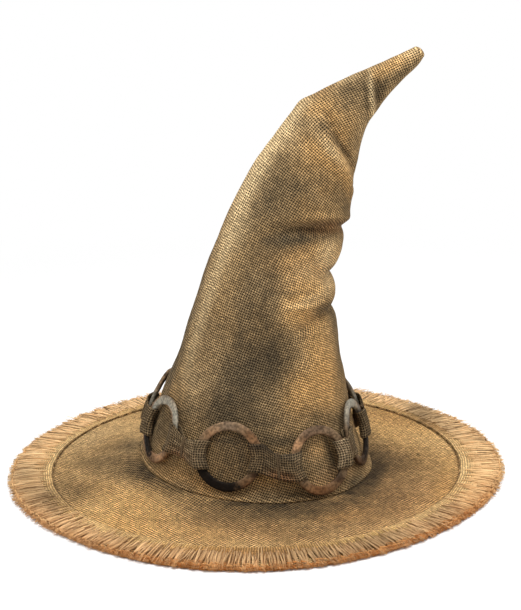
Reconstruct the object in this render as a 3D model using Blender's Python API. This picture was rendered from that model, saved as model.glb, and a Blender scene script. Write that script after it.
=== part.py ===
"""Scarecrow hat of stained burlap: a tall bent cone, sewn to a wide flat brim.

A frayed trim is sewn round the brim's edge, and a band of metal rings, joined by folded cloth links,
goes round the cone. Units are metres, +Z is up, and the origin is on the ground under the middle of
the brim. The wearer faces -Y. A turn is an angle round the hat from there towards +X, in degrees.
"""
import math
from collections import namedtuple

import bmesh
import bpy
from mathutils import Vector
from mathutils.bvhtree import BVHTree

MM = 0.001
GAP = 0.3 * MM  # between pieces that touch
SHARP_DEGREES = 40  # an edge that turns by more than this is shaded sharp

# Brim: a cloth ring that lies flat near its rim and rises to the seam with the crown
BRIM_HOLE_RADIUS = 102 * MM
SEAM_RADIUS = 108 * MM  # the brim follows the crown's lower edge as far as this
BRIM_REST_RADIUS = 202 * MM  # from here outwards the brim lies on the ground
BRIM_RADIUS = 217.5 * MM
BRIM_WALL = 2.4 * MM
BRIM_STATIONS = 64
SEAM_HEIGHT = 11.1 * MM  # height of the seam's middle
SEAM_SLOPE_X = -0.0745  # the seam is lower on the wearer's left
SEAM_SLOPE_Y = 0.020  # and a little lower in front
BRIM_WAVE = 0.12  # height of its waves, as a share of how far the brim rises there
BRIM_WAVES = 3
RIM_LOBE = 2.4 * MM  # the rim reaches further along X and Y, and less between them

BrimRow = namedtuple("BrimRow", "radius share")  # share of the way up from the rim to the seam
BRIM_ROWS = (
    BrimRow(BRIM_HOLE_RADIUS, 1.00),
    BrimRow(SEAM_RADIUS, 1.00),
    BrimRow(122 * MM, 0.62),
    BrimRow(145 * MM, 0.34),
    BrimRow(175 * MM, 0.12),
    BrimRow(BRIM_REST_RADIUS, 0.00),
    BrimRow(BRIM_RADIUS, 0.00),
)

# Frayed cut edge of the brim, just outside its rim
EDGE_RADIUS = 222.5 * MM
EDGE_HEIGHT = 3.6 * MM
EDGE_TUFT = 1.3 * MM  # tufts stand out and fall back by this
EDGE_TUFTS = BRIM_STATIONS // 2

# Trim sewn on the brim: a woven strip, frayed into locks from the fold outwards
TRIM_RADIUS = 186 * MM
TRIM_FRAY_RADIUS = 205 * MM
TRIM_WALL = 1.5 * MM
LOCK_COUNT = 48
LOCK_RADIUS = 222.5 * MM
LOCK_WANDER = 1.2 * MM  # longest and shortest locks differ from the mean by this
LOCK_NOTCH_RADIUS = 213 * MM
LOCK_CREST = 0.5 * MM  # each lock is thicker than the strip by this
LOCK_END_WALL = 0.6  # share of the lock's wall that is left at its end
LOCK_CORNERS = (-0.30, 0.15)  # where a lock's end starts and stops, as shares of its width
LOCK_NOTCH = 0.48  # where the notch beside it is

# Crown: each section runs from the left to the right outline, seen from the front, in millimetres.
# Half depth is its reach to the front and back, and nod is how far its back is lifted.
CROWN_WALL = 2.0 * MM
CROWN_COLUMNS = 32
Section = namedtuple("Section", "left_x left_z right_x right_z half_depth nod")
CROWN_SECTIONS = (
    Section(-106.0, 19.0, 106.0, 3.2, 106.0, 2.1),
    Section(-100.5, 28.5, 99.0, 13.5, 99.5, 2.0),
    Section(-95.5, 42.5, 93.5, 30.0, 94.5, 1.5),
    Section(-89.5, 60.0, 88.5, 51.0, 89.5, 1.0),
    Section(-79.0, 87.0, 83.5, 78.0, 81.5, 0.0),
    Section(-67.0, 115.0, 79.0, 104.0, 72.5, 0.0),
    Section(-54.5, 153.0, 75.8, 138.0, 63.0, 0.0),
    Section(-41.0, 190.0, 72.5, 170.0, 55.5, 0.0),
    Section(-27.0, 225.0, 76.5, 202.0, 49.5, 0.0),
    Section(-10.0, 260.0, 85.5, 230.0, 43.5, 0.0),
    Section(8.0, 291.0, 90.0, 258.0, 38.0, 0.0),
    Section(26.0, 315.0, 94.0, 282.0, 32.0, 0.0),
    Section(44.5, 337.0, 98.0, 302.0, 26.5, 0.0),
    Section(64.0, 348.5, 104.0, 317.5, 21.0, 0.0),
    Section(84.0, 357.5, 112.5, 330.0, 17.0, 0.0),
    Section(103.0, 365.5, 122.0, 343.5, 13.2, 0.0),
    Section(121.0, 373.5, 135.0, 357.3, 10.2, 0.0),
    Section(136.0, 380.0, 147.0, 368.0, 7.8, 0.0),
    Section(143.5, 383.5, 151.8, 374.5, 5.8, 0.0),
)
TIP_REACH = 3.0 * MM  # the rounded end beyond the last section
TIP_STEP = 0.2  # of a section, to find which way the tip points
TIP_WALL = 2 * CROWN_WALL  # the cloth is bunched in the tip

# Rows of the crown's surface are closest where the side folds are
RowSpan = namedtuple("RowSpan", "start end rows")
CROWN_ROWS = (
    RowSpan(0, 4, 4),
    RowSpan(4, 6, 4),
    RowSpan(6, 9, 12),
    RowSpan(9, 14, 10),
    RowSpan(14, 18, 4),
)

# Folds: each is a soft ridge, or a groove where its height is negative, drawn on the crown from start
# to end through mid. Rise counts sections, turn is in degrees, height and width in millimetres.
Fold = namedtuple("Fold", "name start_rise start_turn mid_rise mid_turn end_rise end_turn height width")
CROWN_FOLDS = (
    Fold("tip ridge", 14.9, -34, 14.3, 14, 13.5, 60, 1.6, 4),
    Fold("tip crease", 15.3, -24, 14.8, 16, 14.3, 64, -2.2, 4),
    Fold("shoulder crease", 12.2, -24, 11.7, 14, 10.5, 84, -3.0, 7),
    Fold("shoulder ridge", 11.8, -16, 11.1, 22, 10.1, 80, 2.0, 9),
    Fold("shoulder kink", 12.1, -150, 12.1, -100, 12.1, -50, 1.6, 8),
    Fold("side crease", 8.4, -10, 8.85, 28, 8.95, 120, -4.0, 8),
    Fold("side bulge", 8.1, 20, 8.3, 60, 8.35, 120, 3.6, 11),
    Fold("side notch", 7.8, 36, 7.7, 75, 7.75, 128, -4.6, 7),
    Fold("second bulge", 7.15, 24, 7.25, 66, 7.15, 120, 3.0, 10),
    Fold("lower crease", 6.4, 36, 6.75, 62, 6.75, 118, -3.6, 8),
    Fold("patch edge", 8.1, 8, 7.3, 9, 6.2, 16, 1.5, 12),
    Fold("left edge", 4.2, -74, 7.0, -78, 10.2, -72, 1.6, 10),
    Fold("front hollow", 9.4, -26, 7.4, -14, 4.5, 0, -2.2, 22),
)
FOLD_STEPS = 16
FOLD_END_STRENGTH = 0.12  # how near a fold's ends lie to nothing, as a share of a half wave

# Hat band: the turn of each ring, and the height of its middle in millimetres
RingPlace = namedtuple("RingPlace", "turn height")
RING_PLACES = (
    RingPlace(-64.0, 53.5),
    RingPlace(-14.3, 46.0),
    RingPlace(35.0, 35.5),
    RingPlace(74.0, 41.0),
    RingPlace(118.5, 48.0),
    RingPlace(163.0, 52.0),
    RingPlace(207.5, 55.5),
    RingPlace(252.0, 58.0),
)
RING_RADIUS = 30.5 * MM
RING_HOLE_RADIUS = 22.3 * MM
RING_THICKNESS = 4.0 * MM
RING_EDGE = 1.6 * MM  # width of the bevels inside and outside
RING_SIDES = 16
RING_SEAT_GAP = 0.5 * MM

LINK_WALL = 1.6 * MM
LINK_CLEARANCE = 0.8 * MM  # from the folded cloth to the ring's metal
LINK_HALF_HEIGHT = 12.5 * MM
LINK_PINCH_HALF_HEIGHT = 8.0 * MM
LINK_SLIT = 0.5 * MM  # between the two layers in the pinched middle
LINK_DRAW_SLOPE = 0.6  # how steeply the layers are drawn together
LINK_TURN_STEPS = 4
RING_LIMB_RADIUS = (RING_RADIUS + RING_HOLE_RADIUS) / 2
LINK_OFFSET = RING_THICKNESS / 2 + LINK_CLEARANCE + LINK_WALL / 2
LINK_TURN_REACH = (RING_RADIUS - RING_HOLE_RADIUS) / 2 + LINK_CLEARANCE + LINK_WALL / 2
LINK_FLAT = (RING_RADIUS - RING_HOLE_RADIUS) / 2 + 2 * LINK_CLEARANCE
LINK_PINCH_OFFSET = (LINK_SLIT + LINK_WALL) / 2
LINK_FOLD_RADIUS = RING_LIMB_RADIUS - LINK_TURN_REACH  # the fold follows the inside of the ring
LINK_EDGE_SHIFT = LINK_FOLD_RADIUS - math.sqrt(LINK_FOLD_RADIUS ** 2 - LINK_HALF_HEIGHT ** 2)

Finish = namedtuple("Finish", "color roughness metallic")
FINISHES = {
    "crown_burlap": Finish((0.24, 0.15, 0.068), 0.95, 0.0),
    "brim_burlap": Finish((0.33, 0.20, 0.086), 0.95, 0.0),
    "trim_burlap": Finish((0.56, 0.34, 0.15), 0.95, 0.0),
    "cut_edge": Finish((0.36, 0.15, 0.045), 0.95, 0.0),
    "ring_metal": Finish((0.16, 0.10, 0.065), 0.45, 0.9),
    "link_burlap": Finish((0.14, 0.095, 0.052), 0.95, 0.0),
}


def turned(radius, turn, height):
    """A point round the hat's middle line."""
    angle = math.radians(turn)
    return Vector((radius * math.sin(angle), -radius * math.cos(angle), height))


def stations(count):
    return [360 * step / count for step in range(count)]


def spline(rows, at):
    """Read evenly spaced rows of numbers on a smooth curve through them."""
    last = len(rows) - 1
    step = min(int(at), last - 1)
    t = at - step
    around = [rows[min(max(step + k, 0), last)] for k in (-1, 0, 1, 2)]
    return [
        b + 0.5 * t * (c - a + t * (2 * a - 5 * b + 4 * c - d + t * (3 * (b - c) + d - a)))
        for a, b, c, d in zip(*around)
    ]


def clear_scene():
    for item in list(bpy.data.objects):
        bpy.data.objects.remove(item, do_unlink=True)


def finish_material(name):
    finish = FINISHES[name]
    material = bpy.data.materials.new(name)
    material.use_nodes = True
    shader = material.node_tree.nodes["Principled BSDF"]
    shader.inputs["Base Color"].default_value = (*finish.color, 1.0)
    shader.inputs["Roughness"].default_value = finish.roughness
    shader.inputs["Metallic"].default_value = finish.metallic
    material.diffuse_color = (*finish.color, 1.0)
    return material


def add_object(name, mesh_maker, material):
    """Turn a bmesh into a named object with its faces outwards."""
    bmesh.ops.recalc_face_normals(mesh_maker, faces=mesh_maker.faces)
    mesh = bpy.data.meshes.new(name)
    mesh_maker.to_mesh(mesh)
    mesh_maker.free()
    mesh.materials.append(material)
    mesh.shade_smooth()
    mesh.set_sharp_from_angle(angle=math.radians(SHARP_DEGREES))
    piece = bpy.data.objects.new(name, mesh)
    bpy.context.scene.collection.objects.link(piece)
    return piece


def closed_ring(profiles):
    """Join closed profiles, one after the other and the last to the first, into one solid."""
    solid = bmesh.new()
    loops = [[solid.verts.new(point) for point in profile] for profile in profiles]
    for loop, following in zip(loops, loops[1:] + loops[:1]):
        for k in range(len(loop)):
            after = (k + 1) % len(loop)
            solid.faces.new((loop[k], loop[after], following[after], following[k]))
    return solid


def seam_height(point):
    """Height of the seam's plane under or over a point."""
    return SEAM_HEIGHT + SEAM_SLOPE_X * point.x + SEAM_SLOPE_Y * point.y


def brim_rise(radius, turn):
    """How far the brim rises from the ground to its seam, under the crown or straight outwards from it."""
    return seam_height(turned(min(radius, SEAM_RADIUS), turn, 0)) - GAP - BRIM_WALL


def rim_shift(turn):
    return RIM_LOBE * math.cos(4 * math.radians(turn))


def brim_share(radius):
    for inner, outer in zip(BRIM_ROWS, BRIM_ROWS[1:]):
        if radius <= outer.radius:
            along = (radius - inner.radius) / (outer.radius - inner.radius)
            return inner.share + along * (outer.share - inner.share)
    return BRIM_ROWS[-1].share


def brim_top(radius, turn):
    """Point on the brim's upper side."""
    share = brim_share(radius)
    ripple = BRIM_WAVE * 4 * share * (1 - share) * math.sin(BRIM_WAVES * math.radians(turn))
    return turned(radius, turn, BRIM_WALL + (share + ripple) * brim_rise(radius, turn))


def make_brim():
    profiles = []
    for turn in stations(BRIM_STATIONS):
        upper = [brim_top(row.radius, turn) for row in BRIM_ROWS]
        upper[-1] += turned(rim_shift(turn), turn, 0)
        lower = [point - Vector((0, 0, BRIM_WALL)) for point in reversed(upper)]
        profiles.append(upper + lower)
    return closed_ring(profiles)


def make_brim_edge():
    """A low bead round the brim's rim, whose tufts stand out and fall back in turn."""
    profiles = []
    for number, turn in enumerate(stations(2 * EDGE_TUFTS)):
        tuft = EDGE_TUFT / 2 if number % 2 else -EDGE_TUFT / 2
        inner = BRIM_RADIUS + GAP + rim_shift(turn)
        outer = EDGE_RADIUS + tuft + rim_shift(turn)
        profiles.append([
            turned(inner, turn, EDGE_HEIGHT),
            turned(outer - EDGE_TUFT, turn, EDGE_HEIGHT + tuft / 4),
            turned(outer, turn, EDGE_HEIGHT / 2),
            turned(outer - EDGE_TUFT, turn, 0),
            turned(inner, turn, 0),
        ])
    return closed_ring(profiles)


def lock_reach(number):
    """Locks are of uneven length, in a fixed order."""
    return LOCK_RADIUS + LOCK_WANDER * math.sin(2.4 * number) * math.cos(0.7 * number)


def make_brim_fringe():
    """The trim: three stations for each lock, two at its end and one in the notch beside it."""
    over_edge = EDGE_HEIGHT + EDGE_TUFT / 4 + GAP
    crest_wall = TRIM_WALL + LOCK_CREST
    profiles = []
    for number in range(LOCK_COUNT):
        reach = lock_reach(number)
        corners = (
            (LOCK_CORNERS[0], reach, crest_wall),
            (LOCK_CORNERS[1], reach + LOCK_WANDER / 2, crest_wall),
            (LOCK_NOTCH, LOCK_NOTCH_RADIUS, TRIM_WALL),
        )
        for place, outer, crest in corners:
            turn = 360 * (number + place) / LOCK_COUNT
            outer += rim_shift(turn)
            inner = brim_top(TRIM_RADIUS, turn)
            bend = brim_top(TRIM_FRAY_RADIUS, turn)
            share = (outer - TRIM_FRAY_RADIUS) / (BRIM_RADIUS - TRIM_FRAY_RADIUS)
            end_height = bend.z + GAP + min(share, 1) * (over_edge - bend.z - GAP)
            end_wall = LOCK_END_WALL * crest
            profiles.append([
                inner + Vector((0, 0, GAP)),
                inner + Vector((0, 0, GAP + TRIM_WALL)),
                bend + Vector((0, 0, GAP + crest)),
                turned(outer, turn, end_height + end_wall),
                turned(outer, turn, end_height),
                bend + Vector((0, 0, GAP)),
            ])
    return closed_ring(profiles)


def crown_section(rise):
    """Middle, half width, half depth and nod of the crown at a rise, which counts sections."""
    left_x, left_z, right_x, right_z, half_depth, nod = spline(CROWN_SECTIONS, rise)
    left = Vector((left_x, 0, left_z)) * MM
    right = Vector((right_x, 0, right_z)) * MM
    return (left + right) / 2, (right - left) / 2, half_depth * MM, nod * MM


def crown_smooth_point(rise, turn):
    """Point on the crown's outer side, before its folds."""
    middle, half_width, half_depth, nod = crown_section(rise)
    angle = math.radians(turn)
    return middle + half_width * math.sin(angle) - Vector((0, half_depth, nod)) * math.cos(angle)


def fold_lines():
    """Each fold with the points along it and its strength there, which fades to its ends."""
    lines = []
    for fold in CROWN_FOLDS:
        points = []
        for step in range(FOLD_STEPS + 1):
            t = step / FOLD_STEPS
            start, mid, end = (1 - t) * (1 - 2 * t), 4 * t * (1 - t), t * (2 * t - 1)
            rise = start * fold.start_rise + mid * fold.mid_rise + end * fold.end_rise
            turn = start * fold.start_turn + mid * fold.mid_turn + end * fold.end_turn
            strength = math.sin(math.pi * (FOLD_END_STRENGTH + (1 - 2 * FOLD_END_STRENGTH) * t))
            points.append((crown_smooth_point(rise, turn), strength))
        lines.append((fold, points))
    return lines


def crown_point(rise, turn, lines):
    """Point on the crown's outer side, with its folds."""
    point = crown_smooth_point(rise, turn)
    middle = crown_section(rise)[0]
    height = 0.0
    for fold, points in lines:
        width = fold.width * MM
        reach = max(strength * math.exp(-((point - spot).length / width) ** 2) for spot, strength in points)
        height += fold.height * MM * reach
    return point + (point - middle).normalized() * height


def crown_rises():
    rises = [0.0]
    for span in CROWN_ROWS:
        step = (span.end - span.start) / span.rows
        rises += [span.start + step * (row + 1) for row in range(span.rows)]
    return rises


def crown_skin():
    """The cone's outer side, closed at its tip and open below, with its rows of points."""
    lines = fold_lines()
    turns = stations(CROWN_COLUMNS)
    last = len(CROWN_SECTIONS) - 1
    lean = crown_section(last)[0] - crown_section(last - TIP_STEP)[0]
    solid = bmesh.new()
    outer = [[solid.verts.new(crown_point(rise, turn, lines)) for turn in turns] for rise in crown_rises()]
    tip = solid.verts.new(crown_section(last)[0] + lean.normalized() * TIP_REACH)
    skin = []
    for lower, upper in zip(outer, outer[1:]):
        for k in range(CROWN_COLUMNS):
            after = (k + 1) % CROWN_COLUMNS
            skin.append(solid.faces.new((lower[k], lower[after], upper[after], upper[k])))
    for k in range(CROWN_COLUMNS):
        skin.append(solid.faces.new((outer[-1][k], outer[-1][(k + 1) % CROWN_COLUMNS], tip)))
    bmesh.ops.recalc_face_normals(solid, faces=skin)
    solid.normal_update()
    return solid, outer, tip


def add_crown_wall(solid, outer, tip):
    """Add the cone's inner side, one wall further in, and close its lower edge."""
    inner = []
    for number, loop in enumerate(outer):
        row = []
        for vert in loop:
            inward = -vert.normal
            if number == 0:
                inward = -Vector((vert.co.x, vert.co.y, 0)).normalized()
                inward.z = (seam_height(vert.co + inward * CROWN_WALL) - seam_height(vert.co)) / CROWN_WALL
            row.append(solid.verts.new(vert.co + inward * CROWN_WALL))
        inner.append(row)
    inner_tip = solid.verts.new(tip.co - tip.normal * TIP_WALL)
    for lower, upper in zip(inner, inner[1:]):
        for k in range(CROWN_COLUMNS):
            after = (k + 1) % CROWN_COLUMNS
            solid.faces.new((lower[k], upper[k], upper[after], lower[after]))
    for k in range(CROWN_COLUMNS):
        after = (k + 1) % CROWN_COLUMNS
        solid.faces.new((inner[-1][after], inner[-1][k], inner_tip))
        solid.faces.new((outer[0][k], inner[0][k], inner[0][after], outer[0][after]))


RingFrame = namedtuple("RingFrame", "middle along up out")


def crown_hit(tree, turn, height):
    """Where the crown's outer side lies at a turn and height."""
    start = turned(2 * BRIM_RADIUS, turn, height)
    return tree.ray_cast(start, turned(-1, turn, 0))[0]


def ring_frame(tree, place):
    """Lay a ring on the crown at its place: leaning with the cloth, and just clear of it."""
    height = place.height * MM
    along = turned(1, place.turn + 90, 0)
    reach = RING_RADIUS - RING_EDGE
    up = (crown_hit(tree, place.turn, height + reach) - crown_hit(tree, place.turn, height - reach)).normalized()
    out = along.cross(up)
    middle = crown_hit(tree, place.turn, height) + out * RING_THICKNESS / 2
    lift = 0.0
    for turn in stations(4 * RING_SIDES):
        angle = math.radians(turn)
        for radius in (RING_HOLE_RADIUS, RING_HOLE_RADIUS + RING_EDGE, RING_RADIUS - RING_EDGE, RING_RADIUS):
            point = middle + radius * (math.cos(angle) * along + math.sin(angle) * up)
            point -= out * RING_THICKNESS / 2
            cloth = crown_hit(tree, math.degrees(math.atan2(point.x, -point.y)), point.z)
            lift = max(lift, cloth.xy.length - point.xy.length)
    return RingFrame(middle + out * (lift + RING_SEAT_GAP), along, up, out)


def make_ring(frame):
    half = RING_THICKNESS / 2
    inner_mid, outer_mid = RING_HOLE_RADIUS + RING_EDGE, RING_RADIUS - RING_EDGE
    profile = (
        (RING_HOLE_RADIUS, 0), (inner_mid, half), (outer_mid, half),
        (RING_RADIUS, 0), (outer_mid, -half), (inner_mid, -half),
    )
    profiles = []
    for number in range(RING_SIDES):
        angle = 2 * math.pi * (number + 0.5) / RING_SIDES
        ray = math.cos(angle) * frame.along + math.sin(angle) * frame.up
        profiles.append([frame.middle + radius * ray + offset * frame.out for radius, offset in profile])
    return closed_ring(profiles)


LinkStation = namedtuple("LinkStation", "middle out half_height edge_shift up")


def link_run(before, after, side):
    """Stations of one layer between two rings, flat over the metal and drawn in between them."""
    near, far = RING_LIMB_RADIUS, RING_LIMB_RADIUS + LINK_FLAT
    leave = before.middle + far * before.along
    reach = after.middle - far * after.along
    pinch_depth = min(LINK_OFFSET - LINK_PINCH_OFFSET, (reach - leave).length / 2 * LINK_DRAW_SLOPE)
    narrowing = (LINK_HALF_HEIGHT - LINK_PINCH_HALF_HEIGHT) * pinch_depth / (LINK_OFFSET - LINK_PINCH_OFFSET)
    half = LINK_HALF_HEIGHT
    between = (before.out + after.out).normalized()
    start_shift, leave_shift = -LINK_EDGE_SHIFT * before.along, -LINK_EDGE_SHIFT / 2 * before.along
    reach_shift, end_shift = LINK_EDGE_SHIFT / 2 * after.along, LINK_EDGE_SHIFT * after.along
    lift, drawn = side * LINK_OFFSET, side * (LINK_OFFSET - pinch_depth)
    return [
        LinkStation(before.middle + near * before.along + lift * before.out, side * before.out, half,
                    start_shift, before.up),
        LinkStation(leave + lift * before.out, side * before.out, half, leave_shift, before.up),
        LinkStation((leave + reach) / 2 + drawn * between, side * between, half - narrowing,
                    Vector(), (before.up + after.up).normalized()),
        LinkStation(reach + lift * after.out, side * after.out, half, reach_shift, after.up),
        LinkStation(after.middle - near * after.along + lift * after.out, side * after.out, half,
                    end_shift, after.up),
    ]


def link_turn(ring, way, side):
    """Stations where the cloth folds round a ring's metal and back under it."""
    spot = ring.middle - way * RING_LIMB_RADIUS * ring.along
    found = []
    for step in range(1, LINK_TURN_STEPS):
        angle = math.pi * step / LINK_TURN_STEPS
        forward = way * ring.along * math.sin(angle)
        sideways = side * ring.out * math.cos(angle)
        middle = spot + forward * LINK_TURN_REACH + sideways * LINK_OFFSET
        out = (forward + sideways).normalized()
        found.append(LinkStation(middle, out, LINK_HALF_HEIGHT, way * LINK_EDGE_SHIFT * ring.along, ring.up))
    return found


def make_link(before, after):
    """A belt of cloth round the near sides of two rings, with its layers drawn together between them."""
    found = link_run(before, after, 1) + link_turn(after, 1, 1)
    found += reversed(link_run(before, after, -1))
    found += link_turn(before, -1, -1)
    profiles = []
    for station in found:
        reach = station.up * station.half_height
        spots = (station.middle + reach + station.edge_shift, station.middle,
                 station.middle - reach + station.edge_shift)
        half_wall = station.out * LINK_WALL / 2
        profiles.append([spot + half_wall for spot in spots] + [spot - half_wall for spot in reversed(spots)])
    return closed_ring(profiles)


def main():
    clear_scene()
    materials = {name: finish_material(name) for name in FINISHES}
    crown, outer, tip = crown_skin()
    tree = BVHTree.FromBMesh(crown)
    add_crown_wall(crown, outer, tip)
    add_object("crown", crown, materials["crown_burlap"])
    add_object("brim", make_brim(), materials["brim_burlap"])
    add_object("brim_fringe", make_brim_fringe(), materials["trim_burlap"])
    add_object("brim_edge", make_brim_edge(), materials["cut_edge"])
    frames = [ring_frame(tree, place) for place in RING_PLACES]
    for number, frame in enumerate(frames):
        following = frames[(number + 1) % len(frames)]
        add_object(f"ring_{number + 1}", make_ring(frame), materials["ring_metal"])
        add_object(f"link_{number + 1}", make_link(frame, following), materials["link_burlap"])


main()
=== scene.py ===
"""Looks of the scarecrow hat: burlap over the crown and brim, frayed strands, aged rings, folded links.

Units are metres, +Z is up, and the wearer faces -Y. A turn is an angle round the hat from there towards
+X, in degrees. Rise counts the crown's sections from its seam to its tip.
"""

import math
from collections import namedtuple

import bpy
import numpy as np
from mathutils import Matrix, Vector, noise


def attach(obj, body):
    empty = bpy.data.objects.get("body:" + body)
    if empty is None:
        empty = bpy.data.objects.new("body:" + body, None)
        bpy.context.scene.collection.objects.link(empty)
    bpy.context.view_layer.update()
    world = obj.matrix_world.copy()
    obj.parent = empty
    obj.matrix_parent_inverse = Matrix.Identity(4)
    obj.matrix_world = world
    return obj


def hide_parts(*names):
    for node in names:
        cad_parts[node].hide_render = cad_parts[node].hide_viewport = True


MM = 0.001
random = np.random.default_rng(7)

Noise = namedtuple("Noise", "strength size seed")
BRIM_BUMPS = (Noise(0.5 * MM, 26 * MM, 2), Noise(0.25 * MM, 26 / 3 * MM, 4))
CROWN_SLACK = (Noise(0.9 * MM, 34 * MM, 0), Noise(0.25 * MM, 9 * MM, 5))
TRIM_RAGGED = (Noise(0.8 * MM, 4 * MM, 8), Noise(0.8 * MM, 1.6 * MM, 9))
TRIM_BUMPS = (Noise(0.25 * MM, 6 * MM, 12),)
# breaks in the painted shadow line along the trim's inner edge
TRIM_SHADOW_BREAKS = (Noise(0.9, 2.6 * MM, 14),)
CORE_LUMPS = (Noise(0.35, 5 * MM, 1), Noise(0.2, 2 * MM, 2))
CORE_TONES = (Noise(0.4, 4 * MM, 6),)
EDGE_TUFTS = (Noise(1, 3.2 * MM, 21), Noise(0.6, 8 * MM, 22))
STAIN_RAGGED = (Noise(0.35, 7 * MM, 3),)  # how uneven the edges of stains are
STAIN_CLOUDS = (Noise(1, 46 * MM, 11),)  # stains where the photograph shows none

# Camera, fitted to the photograph
IMAGE_WIDTH, IMAGE_HEIGHT = 521, 610
CAMERA_TARGET = np.array([7.2, 0.0, 155.3]) * MM
CAMERA_DISTANCE = 1.6
CAMERA_PITCH = 16.82
CAMERA_ROLL = -1.24
FOCAL_PIXELS = 1787.5
SENSOR_MM = 36.0
CAMERA_CLIP = 30

# Brim
BRIM_HOLE_RADIUS = 102 * MM
SEAM_RADIUS = 108 * MM
BRIM_RADIUS = 217.5 * MM
BRIM_WALL = 2.4 * MM
SEAM_HEIGHT = 11.1 * MM
SEAM_SLOPE_X, SEAM_SLOPE_Y = -0.0745, 0.020
SEAM_GAP = 0.3 * MM
RIM_LOBE = 2.4 * MM  # the rim reaches further along X and Y, and less between them
RIM_LOBE_POWER = 4  # how late that begins towards the rim
BRIM_RADII = np.array([102, 108, 122, 145, 175, 202, 260]) * MM
BRIM_SHARES = (1.0, 1.0, 0.62, 0.34, 0.12, 0.0, 0.0)  # how far up to the seam the brim is at those radii
BRIM_FINE_ROWS, BRIM_LOW_ROWS, BRIM_COLUMNS = 92, 20, 400
BUMPS_START, BUMPS_END = (112 * MM, 124 * MM), (176 * MM, 184 * MM)  # where its bumps fade in and out
BIAS_TURN = 45  # the brim's threads run slantwise at the front

# Crown. Its sections are in millimetres: their left and right ends, half their depth, and how much higher
# their back is than their middle.
CROWN_WALL = 2.0 * MM
Section = namedtuple("Section", "left_x left_z right_x right_z half_depth nod")
CROWN_SECTIONS = (
    Section(-106.0, 19.0, 106.0, 3.2, 106.0, 2.1),
    Section(-100.5, 28.5, 99.0, 13.5, 99.5, 2.0),
    Section(-95.5, 42.5, 93.5, 30.0, 94.5, 1.5),
    Section(-89.5, 60.0, 88.5, 51.0, 89.5, 1.0),
    Section(-79.0, 87.0, 83.5, 78.0, 81.5, 0.0),
    Section(-67.0, 115.0, 79.0, 104.0, 72.5, 0.0),
    Section(-54.5, 153.0, 75.8, 138.0, 63.0, 0.0),
    Section(-41.0, 190.0, 72.5, 170.0, 55.5, 0.0),
    Section(-27.0, 225.0, 76.5, 202.0, 49.5, 0.0),
    Section(-10.0, 260.0, 85.5, 230.0, 43.5, 0.0),
    Section(8.0, 291.0, 90.0, 258.0, 38.0, 0.0),
    Section(26.0, 315.0, 94.0, 282.0, 32.0, 0.0),
    Section(44.5, 337.0, 98.0, 302.0, 26.5, 0.0),
    Section(64.0, 348.5, 104.0, 317.5, 21.0, 0.0),
    Section(84.0, 357.5, 112.5, 330.0, 17.0, 0.0),
    Section(103.0, 365.5, 122.0, 343.5, 13.2, 0.0),
    Section(121.0, 373.5, 135.0, 357.3, 10.2, 0.0),
    Section(136.0, 380.0, 147.0, 368.0, 7.8, 0.0),
    Section(143.5, 383.5, 151.8, 374.5, 5.8, 0.0),
)
TIP_REACH = 3.6 * MM
TIP_ROWS = 7
TIP_LEAN_ROWS = 8  # the tip points the way that these last rows run
CROWN_ROWS = 320
CROWN_COLUMNS = 212
FINE_RISES = 800  # steps with which the crown's length is measured
LINING_STEP = 5  # the inner side has every fifth of the outer side's rows
HEM_RISE, HEM_SPREAD, HEM_HEIGHT = 0.16, 0.12, 1.0 * MM
BACK_SEAM_HEIGHT, BACK_SEAM_WIDTH = 1.3 * MM, 3.0 * MM
FOOT_RISE = 0.08  # the hem and the back seam fade out below this
WARP_TURN = -68  # where the threads run straight up
CONE_REACH = 450 * MM  # how far the apex of the flat cut is from its foot

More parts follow.
